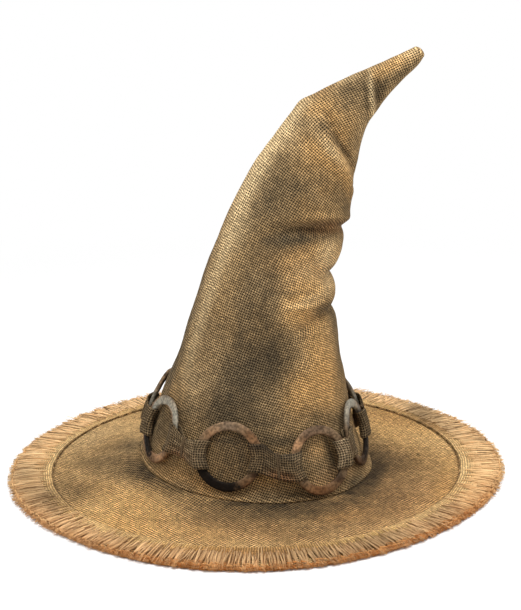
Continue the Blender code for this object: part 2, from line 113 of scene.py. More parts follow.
# Folds of the crown, from their start over their middle to their end. Height and width are in millimetres,
# and a power under 2 makes a sharper fold.
Fold = namedtuple(
    "Fold", "name start_rise start_turn mid_rise mid_turn end_rise end_turn height width power")
CROWN_FOLDS = (
    Fold("tip ridge", 14.9, -34, 14.3, 14, 13.5, 60, 3.6, 3.4, 2),
    Fold("tip crease", 15.3, -24, 14.8, 16, 14.3, 64, -3.8, 3.6, 2),
    Fold("shoulder crease", 12.3, -28, 11.8, 14, 10.5, 84, -4.8, 6, 2),
    Fold("shoulder ridge", 11.9, -24, 11.2, 20, 10.0, 80, 4.0, 8, 2),
    Fold("shoulder kink", 12.1, -150, 12.1, -100, 12.1, -50, 1.6, 8, 2),
    Fold("side crease", 8.4, -14, 8.85, 26, 8.8, 120, -5.2, 6.5, 2),
    Fold("side bulge", 8.0, 20, 8.15, 55, 8.1, 120, 3.0, 11, 2),
    Fold("side notch", 7.65, 36, 7.5, 75, 7.5, 128, -4.0, 6, 2),
    Fold("second bulge", 7.0, 22, 7.0, 60, 7.0, 120, 2.6, 9, 2),
    Fold("lower crease", 6.1, 26, 6.4, 52, 6.5, 118, -3.8, 6, 2),
    Fold("patch edge", 8.1, 8, 7.3, 9, 6.2, 16, 1.8, 9, 2),
    Fold("left edge", 4.2, -74, 7.0, -78, 10.2, -72, 1.6, 10, 2),
    Fold("front hollow", 9.4, -26, 7.4, -14, 4.5, 0, -2.2, 22, 2),
    Fold("tip crease line", 15.2, -30, 14.7, 14, 14.3, 62, -1.4, 1.4, 1.5),
    Fold("tip ridge line", 14.9, -30, 14.35, 14, 13.8, 60, 1.0, 1.6, 2),
    Fold("shoulder line", 12.4, -26, 11.8, 14, 10.6, 84, -2.0, 2.2, 1.5),
    Fold("side crease line", 8.45, -6, 8.85, 30, 8.8, 110, -3.0, 2.6, 1.5),
    Fold("pocket lip", 8.75, -4, 9.2, 30, 9.15, 100, 2.3, 4.0, 2),
    Fold("notch line", 7.6, 38, 7.45, 72, 7.5, 120, -2.2, 2.4, 1.5),
    Fold("bulge crease", 7.0, 14, 6.85, 34, 7.1, 58, -1.6, 2.2, 1.5),
    Fold("patch ridge", 6.75, 10, 6.75, 30, 6.8, 52, 1.8, 3.5, 2),
    Fold("lower crease line", 6.0, 24, 6.35, 50, 6.5, 110, -2.6, 2.3, 1.5),
    Fold("left ridge", 2.2, -70, 8.0, -66, 13.5, -58, 1.1, 4.0, 2),
    Fold("left groove", 2.2, -80, 8.0, -78, 12.5, -72, -0.9, 4.0, 2),
    Fold("upper slack", 13.2, -40, 12.6, 0, 12.4, 50, 0.8, 9.0, 2),
    Fold("side slack", 9.6, -4, 10.0, 34, 9.7, 84, -1.0, 7.0, 2),
    Fold("outline nick", 10.3, 60, 10.25, 80, 10.2, 110, -0.9, 2.5, 1.5),
    Fold("low slack", 5.6, 10, 5.2, 46, 4.6, 90, 1.2, 9.0, 2),
    Fold("long slack", 5.5, -30, 3.5, -22, 1.6, -10, 0.9, 12.0, 2),
)
FOLD_STEPS = 16
FOLD_END_STRENGTH = 0.12  # share of a fold's half wave that is left off at each end

# Trim, a woven strip, and the painted shadow line that its raised inner edge casts
TRIM_RADIUS, TRIM_FRAY_RADIUS, TRIM_WALL = 186 * MM, 205 * MM, 1.5 * MM
TRIM_ROWS, TRIM_COLUMNS = 16, 720
TRIM_LOW_STEP = 5  # its underside has every fifth row
TRIM_EDGE_WALL, TRIM_EDGE_POWER, TRIM_LEAST = 0.55, 6, 0.02  # how its wall thins towards its edges
TRIM_SHADOW_WIDTH = 1.0 * MM
TRIM_SHADOW_DARK, TRIM_SHADOW_BROWN = 1.0, 0.7
TRIM_SHADOW_SHARE = 0.75
TRIM_SHADOW_FRONT, TRIM_SHADOW_FULL = -150 * MM, -20 * MM  # places along Y where it fades in

# Frayed strands of the trim
StrandLayer = namedtuple("StrandLayer", "name count root_low root_high reach height tone clump wild")
# The under layer's low tone is painted shade that shows in the gaps between the upper locks.
STRAND_LAYERS = (
    StrandLayer("under", 2300, 199, 207, 220.0, 3.0, 0.16, 0.55, 0.6),
    StrandLayer("upper", 2900, 194, 207, 223.0, 4.3, 0.86, 0.78, 0.8),
    StrandLayer("loose", 500, 188, 207, 223.5, 5.0, 0.95, 0.30, 1.8),
)
STRAND_STEPS = 6
STRAND_RADIUS, STRAND_SIZES, STRAND_TAPER = 0.42 * MM, (0.7, 1.15), 0.55
STRAND_REACH = 227 * MM  # no strand or fibre goes further out
STRAND_FLOOR, ROOT_FLOOR = 1.1 * MM, 2.4 * MM  # least heights of its end, and of its root above that
STRAND_SWAY, STRAND_LIFT = 0.35, 0.6 * MM  # of a wild strand, the first one in degrees
STRAND_LOCKS = 400
CHANCE_STEP, CHANCE_SCALE = 12.9898, 43758.5453  # these scatter the chances of locks
DRAW_POWER, SWAY_POWER, LIFT_POWER = 0.8, 1.6, 1.5  # how late along a strand each sets in
LOCK_DRIFTS = ((0.5, 17), (0.3, 71))  # how far locks drift, in locks, and how often round the hat
LOCK_REACH, LOCK_SWAY, LOCK_TONES = 3.5 * MM, 1.4, 0.3  # how much locks differ, the second one in degrees
LOCK_EDGE_SHADE = 0.55  # how much darker strands are between locks
PLAIN_LOW, PLAIN_FULL = -0.5, 0.2  # cosines of the turns where strands without red are longer and lower
PLAIN_REACH, PLAIN_DROOP = 0.8 * MM, 0.9 * MM
DROOP, FRONT_DROOP = 1.2 * MM, 0.8 * MM
FRONT_FULL = 0.55  # cosine of the turn where the front begins
FRONT_SHADE = 0.15
STRAND_TONES, STRAND_RED = 0.14, 0.14  # how much strands differ
FRONT_RED, FRONT_END_RED = 0.15, 0.5

# The brim's own cut edge, with a lumpy core under curled fibres. Its red side is near the front.
EDGE_RED_MIDDLE = 14  # the turn where it is reddest
EDGE_RED_LOW, EDGE_RED_FULL = 0.35, 0.85  # cosines of the turns from there
EDGE_RADIUS = 222.5 * MM
EDGE_COLUMNS, EDGE_SIDES = 520, 10
CORE_RADIUS, CORE_HEIGHT, CORE_FLOOR = 219 * MM, 1.5 * MM, 0.05 * MM
CORE_HALF_WIDTH, CORE_HALF_HEIGHT = 1.6 * MM, 1.45 * MM
CORE_NOISE_RADIUS = 220 * MM
CORE_MOST_LUMP = 1.25
CORE_TONE, CORE_RED, CORE_FULL_RED, CORE_PALE = 0.15, 0.1, 0.5, 0.7
EDGE_FIBRES, EDGE_STEPS = 4500, 6
FIBRES_ON_TOP, TOP_LENGTH = 0.28, 0.8
FIBRE_ROOT, FIBRE_ROOTS_ON_TOP = 219.5, (215.5, 221)  # radii in millimetres
FIBRE_HEIGHTS, FIBRE_HEIGHTS_ON_TOP = (0.4, 3.4), (3.4, 5.0)  # in millimetres
FIBRE_LENGTHS, PLAIN_LENGTH = (2.0, 5.0), 0.6  # millimetres, and the share of it where there is no red
TUFT_HEIGHT, TUFT_LENGTH = 1.3 * MM, 0.5
FIBRE_SWAY, FIBRE_RISE, FIBRE_RISE_SPREAD, FIBRE_CURL = 1.2, 0.1, 0.8, 1.3  # in millimetres
FIBRE_DROOP, FIBRE_SLOWING, FIBRE_LIFTING = 1.2 * MM, 0.25, 0.9
EDGE_CURLING = 5.5  # how far round each fibre curls, in radians
FIBRE_LOWEST, FIBRE_HIGHEST = 0.45 * MM, 6 * MM
FIBRE_RADII, FIBRE_TAPER = (0.24, 0.44), 0.5
FIBRE_TONE, FIBRE_TONE_SPREAD, TUFT_TONE = 0.62, 0.2, 0.9
FIBRE_REDS, TUFT_LESS_RED, TUFT_RED_FULL = (0.45, 0.95), 0.5, 0.6
FIBRE_DIRTS, TUFT_DIRT_FULL = (0.3, 1.0), 0.7
FIBRE_PALE = 0.75

# Rings and links of the band. Sizes are those of the solids.
RING_COUNT = 8
RING_RADIUS, RING_HOLE_RADIUS, RING_THICKNESS = 30.5 * MM, 22.3 * MM, 4.0 * MM
RING_LIMB_RADIUS = (RING_RADIUS + RING_HOLE_RADIUS) / 2
RING_COLUMNS, RING_SIDES = 128, 28
RING_SQUARENESS = 3.2  # power of the superellipse that the ring's metal has in section
RING_DENT, RING_DENT_SIZE, RING_FINE = 0.3 * MM, 7 * MM, 0.4
RING_WORN = 0.4  # share of a dent by which the whole ring is worn down
LINK_WALL, LINK_CLEARANCE = 1.6 * MM, 0.8 * MM
LINK_HALF_HEIGHT = 12.5 * MM
LINK_PINCHES = np.array([8.5, 11.3, 9.0, 8.0, 8.5, 8.0, 9.0, 8.0]) * MM  # half heights where they are sewn
LINK_SAGS = np.array([0.5, 2.2, 0.5, 0.0, 0.0, 0.0, 0.0, 0.0]) * MM  # how far they hang down there
LINK_SLIT = 0.5 * MM
LINK_DRAW_SLOPE = 0.6
LINK_TURN_STEPS = 4
LINK_OFFSET = RING_THICKNESS / 2 + LINK_CLEARANCE + LINK_WALL / 2
LINK_TURN_REACH = (RING_RADIUS - RING_HOLE_RADIUS) / 2 + LINK_CLEARANCE + LINK_WALL / 2
LINK_FLAT = (RING_RADIUS - RING_HOLE_RADIUS) / 2 + 2 * LINK_CLEARANCE
LINK_PINCH_OFFSET = (LINK_SLIT + LINK_WALL) / 2
LINK_FOLD_RADIUS = RING_LIMB_RADIUS - LINK_TURN_REACH
LINK_EDGE_SHIFT = LINK_FOLD_RADIUS - math.sqrt(LINK_FOLD_RADIUS ** 2 - LINK_HALF_HEIGHT ** 2)
LINK_STATIONS, LINK_ACROSS = 120, 19
SPLINE_STEPS = 40  # from one station to the next, to measure a link's length
LINK_WRINKLE, LINK_WRINKLES, LINK_PINCHED_WRINKLE = 0.55 * MM, 5, 0.35
LINK_EDGE_POWER, LINK_LEAST = 8, 0.04  # how its wall thins towards its edges
LINK_BUMP, LINK_BUMP_SIZE = 0.25 * MM, 5 * MM
LINK_UNEVEN, LINK_UNEVEN_SIZE = 0.15, 3 * MM  # how much its wall differs, as a share
LINK_WRAPS, LINK_WRAP_RADIUS, LINK_WRAP_STEPS = 3, 0.36 * MM, 40
WRAP_ROUND, WRAP_START = 0.985, 0.9  # turns of each thread, and where the next starts in radians
WRAP_PITCH, WRAP_UNEVEN = 2.1 * LINK_WRAP_RADIUS, 0.12 * MM
WRAP_SLACK = 0.2 * MM
WRAP_HIGH_POWER, WRAP_THICK_POWER = 0.75, 0.5  # under 1 makes its path squarer
WRAP_TONE, WRAP_TONE_SPREAD, WRAP_DIRT, WRAP_RED = 0.35, 0.15, 0.4, 0.1

RingFrame = namedtuple("RingFrame", "middle along up out")
LinkStation = namedtuple("LinkStation", "middle out half_height edge_shift up")

# Stains, placed by pixels of the photograph. Dirt also holds painted shade in creases and hollows, on the
# cloth inside and above the rings and links, and beside the hem. Gold and pale also hold painted light on
# lit bulges, ridges and sides. The first half size lies along the tilt, which is in degrees downwards from
# a line to the right. Each row below holds a stain's values from strength to tilt.
KINDS = ("dirt", "gold", "rust", "pale")
Stain = namedtuple("Stain", "kind strength x y half_long half_wide tilt")
FACING = (-0.1, 0.12)  # a side turns away from the camera between these cosines
STAIN_DEPTH = 1.3  # how soon stains that lie on each other come near to full strength
HIDDEN_DIRT, HIDDEN_CLOUDS, HIDDEN_GOLD = 0.12, 0.4, 0.3
CLOUDY, CLEAR = (-0.6, 0.8), (-0.2, 0.8)  # values of the clouds' noise where dirt and gold set in


def stain_rows(**kinds):
    """Stains of each kind, from rows of their other values."""
    return [Stain(kind, *row) for kind, rows in kinds.items() for row in rows]


# Dirt here is partly painted shade: the notch, creases, the cloth inside and above rings 2 and 3, and beside
# the hem. Gold and pale are partly painted light: the lit bulges, the left flank and the tip's ridge line.
CROWN_STAINS = stain_rows(
    dirt=[
        (0.55, 214, 232, 30, 4, -66), (0.8, 201, 273, 40, 4, -70), (0.85, 186, 325, 44, 4.5, -73),
        (0.8, 170, 376, 30, 5, -70), (0.2, 396, 71, 8, 4, -30), (0.4, 366, 84, 7, 7, 80),
        (0.8, 381, 88, 14, 5, -70), (0.5, 402, 74, 18, 3.5, -40), (0.6, 366, 96, 18, 2.4, 85),
        (0.5, 377, 96, 14, 2.4, 85), (0.65, 352, 89, 18, 10, -28), (0.4, 348, 101, 18, 8, -20),
        (0.25, 290, 172, 26, 20, -60), (0.15, 190, 440, 12, 40, 0), (0.3, 181, 402, 9, 12, 0),
        (0.12, 196, 330, 9, 60, 15), (0.75, 325, 127, 7, 7, 0), (0.3, 300, 122, 14, 8, 30),
        (0.4, 350, 127, 14, 6, 80), (0.9, 342, 148, 18, 3, 52), (0.35, 335, 192, 12, 12, 90),
        (0.45, 296, 187, 15, 9, 10), (0.2, 272, 196, 22, 10, 100), (0.5, 347, 206, 18, 5, -84),
        (0.15, 280, 166, 18, 9, -30), (0.42, 268, 196, 26, 13, -62), (0.3, 256, 222, 24, 12, -64),
        (0.4, 295, 205, 26, 18, -40), (1.1, 280, 239, 16, 7, -12), (0.3, 300, 250, 20, 5, 0),
        (0.7, 314, 228, 30, 5, -6), (0.15, 268, 248, 18, 9, 0), (0.85, 302, 239, 20, 5.5, -6),
        (0.5, 252, 280, 30, 14, 105), (0.15, 264, 288, 22, 8, 95), (0.55, 272, 288, 26, 9, 95),
        (0.65, 245, 320, 28, 12, 100), (0.35, 242, 344, 14, 12, 0), (0.5, 266, 324, 20, 12, 95),
        (0.4, 287, 344, 16, 11, 80), (0.3, 306, 334, 10, 9, 0), (0.55, 262, 347, 22, 14, 110),
        (0.8, 277, 368, 24, 13, 105), (0.75, 252, 372, 24, 16, 110), (0.5, 256, 378, 34, 22, 0),
        (0.5, 226, 400, 22, 14, 0), (0.3, 277, 358, 20, 14, 90), (0.8, 228, 392, 26, 16, 110),
        (0.3, 256, 400, 26, 12, 10), (0.3, 212, 336, 16, 26, 10), (0.45, 230, 366, 16, 14, 100),
        (0.5, 258, 364, 13, 16, 0), (0.6, 236, 416, 24, 9, 0), (0.4, 264, 428, 14, 9, 0),
        (0.7, 343, 424, 8, 18, 0), (0.8, 329, 459, 16, 3, 75), (0.3, 316, 170, 11, 7, 0),
        (0.3, 331, 139, 6, 8, 0), (0.9, 226, 440, 12, 4, -5), (0.7, 242, 465, 16, 3.5, 90),
        (1.2, 356, 481, 10, 5, -40), (0.75, 335, 268, 10, 4, -20), (0.4, 306, 240, 32, 5, -8),
        (0.3, 228, 411, 30, 12, 0), (0.55, 321, 419, 16, 8, 20), (1.3, 276, 441, 25, 6, 0),
        (0.5, 318, 470, 14, 10, 0), (0.3, 340, 366, 18, 4, 85), (0.3, 196, 385, 24, 14, 100),
        (1.1, 324, 309, 10, 5, -35), (0.5, 298, 293, 16, 2, -2), (0.45, 339, 352, 34, 3.5, 82),
        (0.6, 334, 320, 14, 4.5, 80), (0.6, 242, 420, 56, 14, 3), (0.2, 176, 415, 18, 16, 90),
        (0.95, 230, 452, 24, 24, 0), (0.35, 304, 462, 8, 22, 0), (1.3, 331, 455, 15, 1.8, 70),
        (0.9, 160, 430, 16, 20, 0), (0.45, 222, 478, 16, 10, 20), (0.35, 305, 496, 28, 6, 0),
        (0.5, 184, 487, 12, 7, 20), (0.45, 264, 499, 22, 3.5, 0), (0.4, 284, 496, 34, 4, 0),
    ],
    gold=[
        (0.6, 402, 60, 24, 6, -30), (0.3, 385, 72, 12, 7, -30), (0.45, 325, 106, 22, 7, -22),
        (0.55, 333, 116, 9, 7, 0), (0.4, 329, 163, 8, 7, 60), (0.45, 348, 128, 18, 6, -75),
        (0.4, 312, 148, 16, 8, 50), (0.6, 340, 167, 15, 9, 80), (0.8, 348, 184, 16, 4, 85),
        (0.25, 302, 203, 9, 8, 0), (0.25, 312, 214, 16, 7, -10), (0.3, 326, 191, 10, 7, 0),
        (0.3, 318, 248, 12, 8, 0), (0.25, 322, 160, 22, 16, 0), (0.2, 300, 270, 30, 20, 0),
        (0.4, 300, 262, 12, 10, 0), (0.9, 328, 254, 12, 9, 20), (1.0, 316, 279, 24, 17, 90),
        (0.8, 297, 304, 18, 11, -60), (0.4, 301, 318, 14, 11, 0), (0.25, 292, 388, 10, 14, 0),
        (0.3, 300, 408, 13, 9, 0), (0.5, 316, 338, 22, 13, 90), (0.3, 340, 130, 16, 12, 80),
        (0.35, 318, 152, 30, 14, -60), (0.3, 328, 266, 8, 14, 0), (0.25, 300, 396, 14, 20, 0),
        (1.0, 324, 376, 28, 13, 88), (0.6, 304, 384, 16, 10, 90), (0.2, 185, 395, 14, 10, 0),
        (0.3, 318, 450, 9, 8, 0), (0.4, 266, 481, 13, 5, 0), (0.4, 196, 484, 26, 8, 22),
    ],
    rust=[
        (0.7, 326, 228, 20, 6, -6), (0.09, 250, 468, 110, 42, 0), (0.25, 318, 84, 10, 8, 0),
        (0.1, 300, 260, 30, 24, 0), (0.2, 330, 478, 20, 10, -30),
    ],
    pale=[
        (1.0, 291, 117, 22, 6, -52), (1.1, 264, 156, 32, 8, -58), (0.9, 244, 198, 30, 6, -62),
        (0.3, 254, 180, 18, 8, -60), (0.55, 225, 248, 36, 5.5, -68), (0.4, 206, 305, 38, 5.5, -71),
        (0.3, 192, 350, 26, 6, -73), (0.6, 414, 51, 12, 6, -30), (0.3, 349, 79, 12, 3, -25),
        (1.6, 371.5, 97, 20, 2.0, 85), (0.22, 288, 128, 14, 10, -50), (0.5, 331, 150, 18, 5, 52),
        (0.4, 240, 228, 22, 9, -66), (0.2, 192, 392, 8, 24, 0), (0.25, 302, 466, 4, 16, 0),
        (0.7, 328, 256, 10, 15, 0), (0.2, 320, 274, 16, 22, 0), (0.35, 306, 302, 18, 5, -20),
        (0.3, 305, 270, 13, 10, 0), (0.5, 328, 282, 5, 11, 0), (0.25, 270, 140, 34, 12, -55),
    ],
)
# Dirt here is partly painted shade next to the crown's hem and beside ring 4. Gold and pale are partly
# painted light on the brighter right and left sides.
BRIM_STAINS = stain_rows(
    dirt=[
        (0.6, 72, 492, 22, 9, -10), (0.3, 62, 480, 18, 8, 0), (0.45, 100, 465, 30, 6, -4),
        (0.95, 148, 472, 28, 13, 12), (0.35, 110, 474, 22, 6, 5), (0.4, 98, 459, 20, 6, -5),
        (0.8, 130, 446, 20, 7, -8), (0.4, 166, 486, 14, 6, 15), (0.45, 176, 494, 26, 8, 20),
        (0.95, 258, 506, 46, 8, 2), (0.6, 234, 519, 62, 12, 5), (0.55, 250, 503, 54, 4, 0),
        (0.6, 288, 504, 50, 6, 0), (0.35, 266, 515, 50, 7, 0), (0.45, 358, 486, 22, 14, -20),
        (0.5, 362, 474, 17, 14, -30), (0.4, 264, 502, 38, 4, 0), (0.75, 149, 470, 20, 9, 8),
        (0.5, 146, 474, 16, 7, 10), (0.7, 366, 470, 18, 12, -30), (0.12, 105, 450, 60, 20, -5),
        (0.4, 187, 489, 16, 6, 15), (0.85, 304, 511, 32, 9, -3), (1.3, 299, 506.7, 1.6, 1.3, 0),
        (1.2, 360, 478, 24, 15, -25), (0.8, 352, 484, 16, 8, -20), (0.6, 274, 501, 34, 3, 0),
        (0.7, 396, 464, 40, 14, 6), (0.45, 350, 504, 40, 11, -15), (0.9, 371, 466, 13, 8, -30),
        (1.2, 361, 477, 17, 11, -25), (1.4, 356, 482, 12, 6, -30), (0.35, 402, 492, 32, 12, -10),
        (0.35, 322, 530, 52, 10, -8), (0.3, 384, 510, 26, 10, -14), (0.3, 425, 518, 24, 8, -26),
        (1.4, 418.3, 454.8, 1.5, 1.2, 0), (0.4, 372, 445, 14, 10, 20),
    ],
    gold=[
        (0.3, 108, 522, 32, 9, 18), (0.4, 135, 508, 36, 18, 15), (0.2, 185, 530, 36, 10, 8),
        (0.5, 340, 516, 22, 6, -8), (0.5, 444, 444, 20, 9, 40), (0.3, 424, 466, 24, 14, 60),
        (0.3, 136, 528, 26, 6, 14), (0.4, 390, 414, 24, 8, 10), (0.5, 440, 440, 28, 10, 45),
        (0.6, 446, 480, 30, 10, 110), (0.6, 400, 432, 40, 11, 16),
    ],
    rust=[
        (0.25, 420, 500, 60, 22, -20), (0.2, 255, 530, 120, 14, 0), (0.3, 340, 516, 22, 10, -8),
        (0.25, 392, 416, 24, 8, 10), (0.2, 385, 490, 64, 34, -10),
    ],
    pale=[
        (0.35, 88, 440, 28, 10, -20), (0.3, 444, 444, 20, 9, 40), (0.2, 130, 446, 10, 10, 0),
        (0.2, 420, 440, 26, 8, 20),
    ],
)
# Dirt here is partly painted shade on the trim's darker front and left. Pale is partly painted light on its
# brighter right side, and the strands take it too.
TRIM_STAINS = stain_rows(
    dirt=[
        (0.8, 42, 495, 18, 9, 0), (0.5, 54, 508, 14, 8, 25), (0.5, 28, 474, 14, 10, 0),
        (0.7, 418, 412, 15, 6, 22), (0.3, 442, 424, 20, 7, 30), (0.2, 290, 548, 60, 8, -4),
        (0.12, 255, 554, 130, 8, 0), (0.15, 440, 421, 26, 8, 26), (0.9, 422, 411, 10, 6, 22),
        (0.9, 384, 540, 26, 8, -14), (0.6, 320, 556, 34, 8, -6), (0.6, 74, 500, 10, 7, 20),
        (0.35, 436, 516, 20, 9, -32),
    ],
    gold=[
        (0.3, 240, 548, 90, 4, 0), (0.4, 370, 536, 50, 4, -14),
    ],
    rust=[
        (0.8, 255, 554, 130, 8, 0), (0.7, 440, 421, 30, 9, 26), (0.35, 255, 552, 110, 5, 0),
        (0.4, 440, 421, 24, 7, 26),
    ],
    pale=[
        (1.4, 468, 478, 34, 9, 90), (0.9, 487, 486, 32, 9, 98), (1.0, 54, 458, 26, 10, -50),
        (0.3, 452, 440, 20, 8, 40),
    ],
)
# Dirt here is dark oxide and painted shade on the rings' lower limbs. Gold is partly painted highlights on
# lit tops and limbs.
RING_STAINS = stain_rows(
    dirt=[
        (1.4, 146, 443, 20, 6, 82), (2.2, 212, 477, 24, 12, 45), (1.0, 230, 488, 14, 6, 0),
        (0.5, 336, 470, 8, 14, 0), (1.4, 365, 440, 6, 22, 0),
    ],
    gold=[
        (1.0, 156, 455, 9, 6, -30), (0.35, 212, 432, 10, 6, -40), (0.15, 232, 427, 20, 5, 0),
        (0.35, 251, 441, 6, 6, 0), (0.6, 296, 447, 5, 5, 0), (0.4, 300, 444, 8, 8, -50),
        (0.3, 312, 494, 14, 4, 0),
    ],
    rust=[
        (0.5, 252, 438, 14, 7, 50), (0.9, 246, 485, 12, 6, -20), (0.5, 314, 433, 18, 6, 5),
        (1.2, 318, 490, 22, 7, -10), (0.8, 366, 459, 8, 5, 0),
    ],
    pale=[
        (1.0, 158, 404, 18, 9, 20), (0.8, 174, 418, 14, 5, 60), (0.15, 312, 432, 18, 5, 0),
        (0.15, 228, 427, 18, 5, 0), (0.9, 349, 404, 8, 14, 0),
    ],
)
# Dirt here is mostly painted shadow along link 2's top edge, under the crown.
LINK_STAINS = stain_rows(
    dirt=[
        (1.4, 273, 446, 26, 5, 4), (0.7, 283, 450, 12, 10, 0), (0.3, 205, 460, 12, 10, 0),
        (1.3, 286, 448, 13, 5, 5),
    ],
    rust=[
        (0.4, 240, 452, 8, 10, 0), (0.6, 177, 458, 10, 8, 20), (0.7, 281, 477, 14, 5, 10),
    ],
    pale=[
        (0.2, 195, 455, 14, 10, 20), (0.35, 292, 456, 14, 5, 0), (0.6, 341, 452, 8, 16, 0),
    ],
)

# Colours and weave
# The dirt colours also serve as painted shade, and the gold and pale colours as painted light.
Palette = namedtuple("Palette", "plain light dirt gold rust pale")
CROWN_PALETTE = Palette((0.393, 0.247, 0.107), (0.51, 0.338, 0.161), (0.09, 0.067, 0.038),
                        (0.80, 0.45, 0.16), (0.42, 0.17, 0.05), (0.97, 0.71, 0.38))
BRIM_PALETTE = Palette((0.53, 0.322, 0.131), (0.65, 0.411, 0.175), (0.066, 0.044, 0.022),
                       (0.80, 0.46, 0.155), (0.42, 0.18, 0.06), (0.80, 0.56, 0.28))
TRIM_PALETTE = Palette((0.66, 0.405, 0.16), (0.80, 0.515, 0.225), (0.15, 0.10, 0.048),
                       (0.78, 0.46, 0.13), (0.45, 0.2, 0.06), (0.88, 0.60, 0.28))
LINK_PALETTE = Palette((0.135, 0.09, 0.045), (0.21, 0.145, 0.076), (0.03, 0.021, 0.013),
                       (0.30, 0.18, 0.075), (0.22, 0.085, 0.03), (0.50, 0.37, 0.22))
# pale jute, which also serves as painted light on lit parts of the strands
PALE_AND_LIT_JUTE = (0.88, 0.58, 0.28)
TRIM_STRANDS = ((0.12, 0.064, 0.026), (0.98, 0.67, 0.35), (0.52, 0.22, 0.065))  # dark, light and rust
EDGE_STRANDS = ((0.18, 0.06, 0.016), (0.84, 0.48, 0.19), (0.54, 0.195, 0.045))
LINK_STRANDS = ((0.05, 0.032, 0.018), (0.22, 0.15, 0.08), (0.2, 0.08, 0.03))
# The black and the worn yellow also stand for painted shade and painted highlights on the rings.
BRASS_BROWN, BRASS_DARK, OXIDE_AND_SHADE_BLACK = (0.185, 0.12, 0.066), (0.07, 0.043, 0.025), (0.008, 0.005, 0.003)
BRASS_PATINA, BRASS_WORN_AND_LIT, COPPER_RED = (0.40, 0.385, 0.31), (0.50, 0.27, 0.13), (0.165, 0.066, 0.02)
PATCH_SCALE, GRAIN_SCALE, PIT_SCALE = 90.0, 420.0, 1500.0
PITCH, BRIM_PITCH, LINK_PITCH = 2.1 * MM, 2.6 * MM, 2.2 * MM  # from thread to thread
WANDER, WANDER_SIZE = 1.5, 30 * MM  # how far threads stray slowly, in threads
JITTER, JITTER_SIZE = 0.6, 6 * MM  # and quickly
SLUB_STEP, SLUB_SPEED, SLUB_SHIFT = 3.7, 0.22, 57.0  # where the noise of thickness is read for each thread
OVER = 0.3  # how much a thread rises where it crosses over the other
MOTTLE_SCALE, SPOT_SCALE, SPOT_DIRT = 18.0, 90.0, 0.5
SPECK_LEAST, SPECK = 0.75, 0.5  # a crossing's shade differs by chance

# Floor, sky and lamps
FLOOR_SIZE, FLOOR_DROP, FLOOR_COLOUR = 60.0, -0.0006, 0.84
FLOOR_NEAR, FLOOR_FAR = 0.35, 0.9  # it turns plain white between these distances
SKY_STRENGTH = 0.42  # light from the sky, while the camera sees it white
LAMP_AIM = Vector((0, 0, 0.12))
Lamp = namedtuple("Lamp", "name x y z size power")
LAMPS = (
    Lamp("overhead", 0.1, -0.45, 2.3, 1.3, 52),
    Lamp("left", -1.8, -0.5, 1.3, 1.2, 8),
    Lamp("right", 1.7, -0.1, 1.2, 1.2, 9),
)


def camera_axes():
    pitch, roll = math.radians(CAMERA_PITCH), math.radians(CAMERA_ROLL)
    back = np.array([0.0, -math.cos(pitch), math.sin(pitch)])
    side = np.array([1.0, 0.0, 0.0])
    lift = np.cross(back, side)
    right = math.cos(roll) * side + math.sin(roll) * lift
    up = -math.sin(roll) * side + math.cos(roll) * lift
    return right, up, back


def make_camera():
    right, up, back = camera_axes()
    data = bpy.data.cameras.new("camera")
    data.sensor_width = SENSOR_MM
    data.lens = SENSOR_MM * FOCAL_PIXELS / IMAGE_HEIGHT
    data.clip_end = CAMERA_CLIP
    camera = bpy.data.objects.new("camera", data)
    bpy.context.scene.collection.objects.link(camera)
    place = CAMERA_TARGET + CAMERA_DISTANCE * back
    rows = [(right[k], up[k], back[k], place[k]) for k in range(3)] + [(0, 0, 0, 1)]
    camera.matrix_world = Matrix(rows)
    bpy.context.scene.camera = camera


def project(points):
    """Where points fall in the photograph, in pixels."""
    right, up, back = camera_axes()
    away = points - (CAMERA_TARGET + CAMERA_DISTANCE * back)
    depth = -(away @ back)
    across = IMAGE_WIDTH / 2 + FOCAL_PIXELS * (away @ right) / depth
    down = IMAGE_HEIGHT / 2 - FOCAL_PIXELS * (away @ up) / depth
    return across, down


def smooth(low, high, value):
    t = np.clip((value - low) / (high - low), 0, 1)
    return t * t * (3 - 2 * t)


def noise_at(points, scale, seed=0.0):
    """Smooth noise from -1 to 1 at each point. Scale is the size of its spots in metres."""
    flat = points.reshape(-1, 3) / scale + seed
    return np.array([noise.noise(spot) for spot in flat.tolist()]).reshape(points.shape[:-1])


def noises(points, layers):
    """The sum of several noises."""
    return sum(layer.strength * noise_at(points, layer.size, layer.seed) for layer in layers)


def powered(wave, power):
    """A wave with the same sign, whose size is raised to a power."""
    return np.sign(wave) * np.abs(wave) ** power


def unit(vectors):
    return vectors / np.maximum(np.linalg.norm(vectors, axis=-1, keepdims=True), 1e-12)


def all_round(count, whole=360):
    """A row of evenly spaced turns."""
    return np.linspace(0, whole, count, endpoint=False)[None, :]


def on_turn(radius, turn, height):
    """Points round the hat's middle line."""
    angle = np.radians(turn)
    radius, angle, height = np.broadcast_arrays(radius, angle, height)
    return np.stack([radius * np.sin(angle), -radius * np.cos(angle), height], axis=-1)


def section_at(rise):
    """Middle, half width, half depth and nod of the crown at each rise, on a smooth curve."""
    rows = np.array(CROWN_SECTIONS) * MM
    last = len(rows) - 1
    step = np.clip(rise.astype(int), 0, last - 1)
    t = (rise - step)[:, None]
    a, b, c, d = (rows[np.clip(step + k, 0, last)] for k in (-1, 0, 1, 2))
    found = b + 0.5 * t * (c - a + t * (2 * a - 5 * b + 4 * c - d + t * (3 * (b - c) + d - a)))
    left_x, left_z, right_x, right_z, half_depth, nod = found.T
    middle = np.stack([(left_x + right_x) / 2, 0 * left_x, (left_z + right_z) / 2], axis=1)
    half_width = np.stack([(right_x - left_x) / 2, 0 * left_x, (right_z - left_z) / 2], axis=1)
    return middle, half_width, half_depth, nod


def crown_grid(rises, turns):
    """Points on the crown before its folds, one row for each rise, and the middle of each row."""
    middle, half_width, half_depth, nod = section_at(rises)
    angle = np.radians(turns)[None, :, None]
    back = np.stack([0 * nod, half_depth, nod], axis=1)
    points = middle[:, None] + half_width[:, None] * np.sin(angle) - back[:, None] * np.cos(angle)
    return points, middle[:, None]


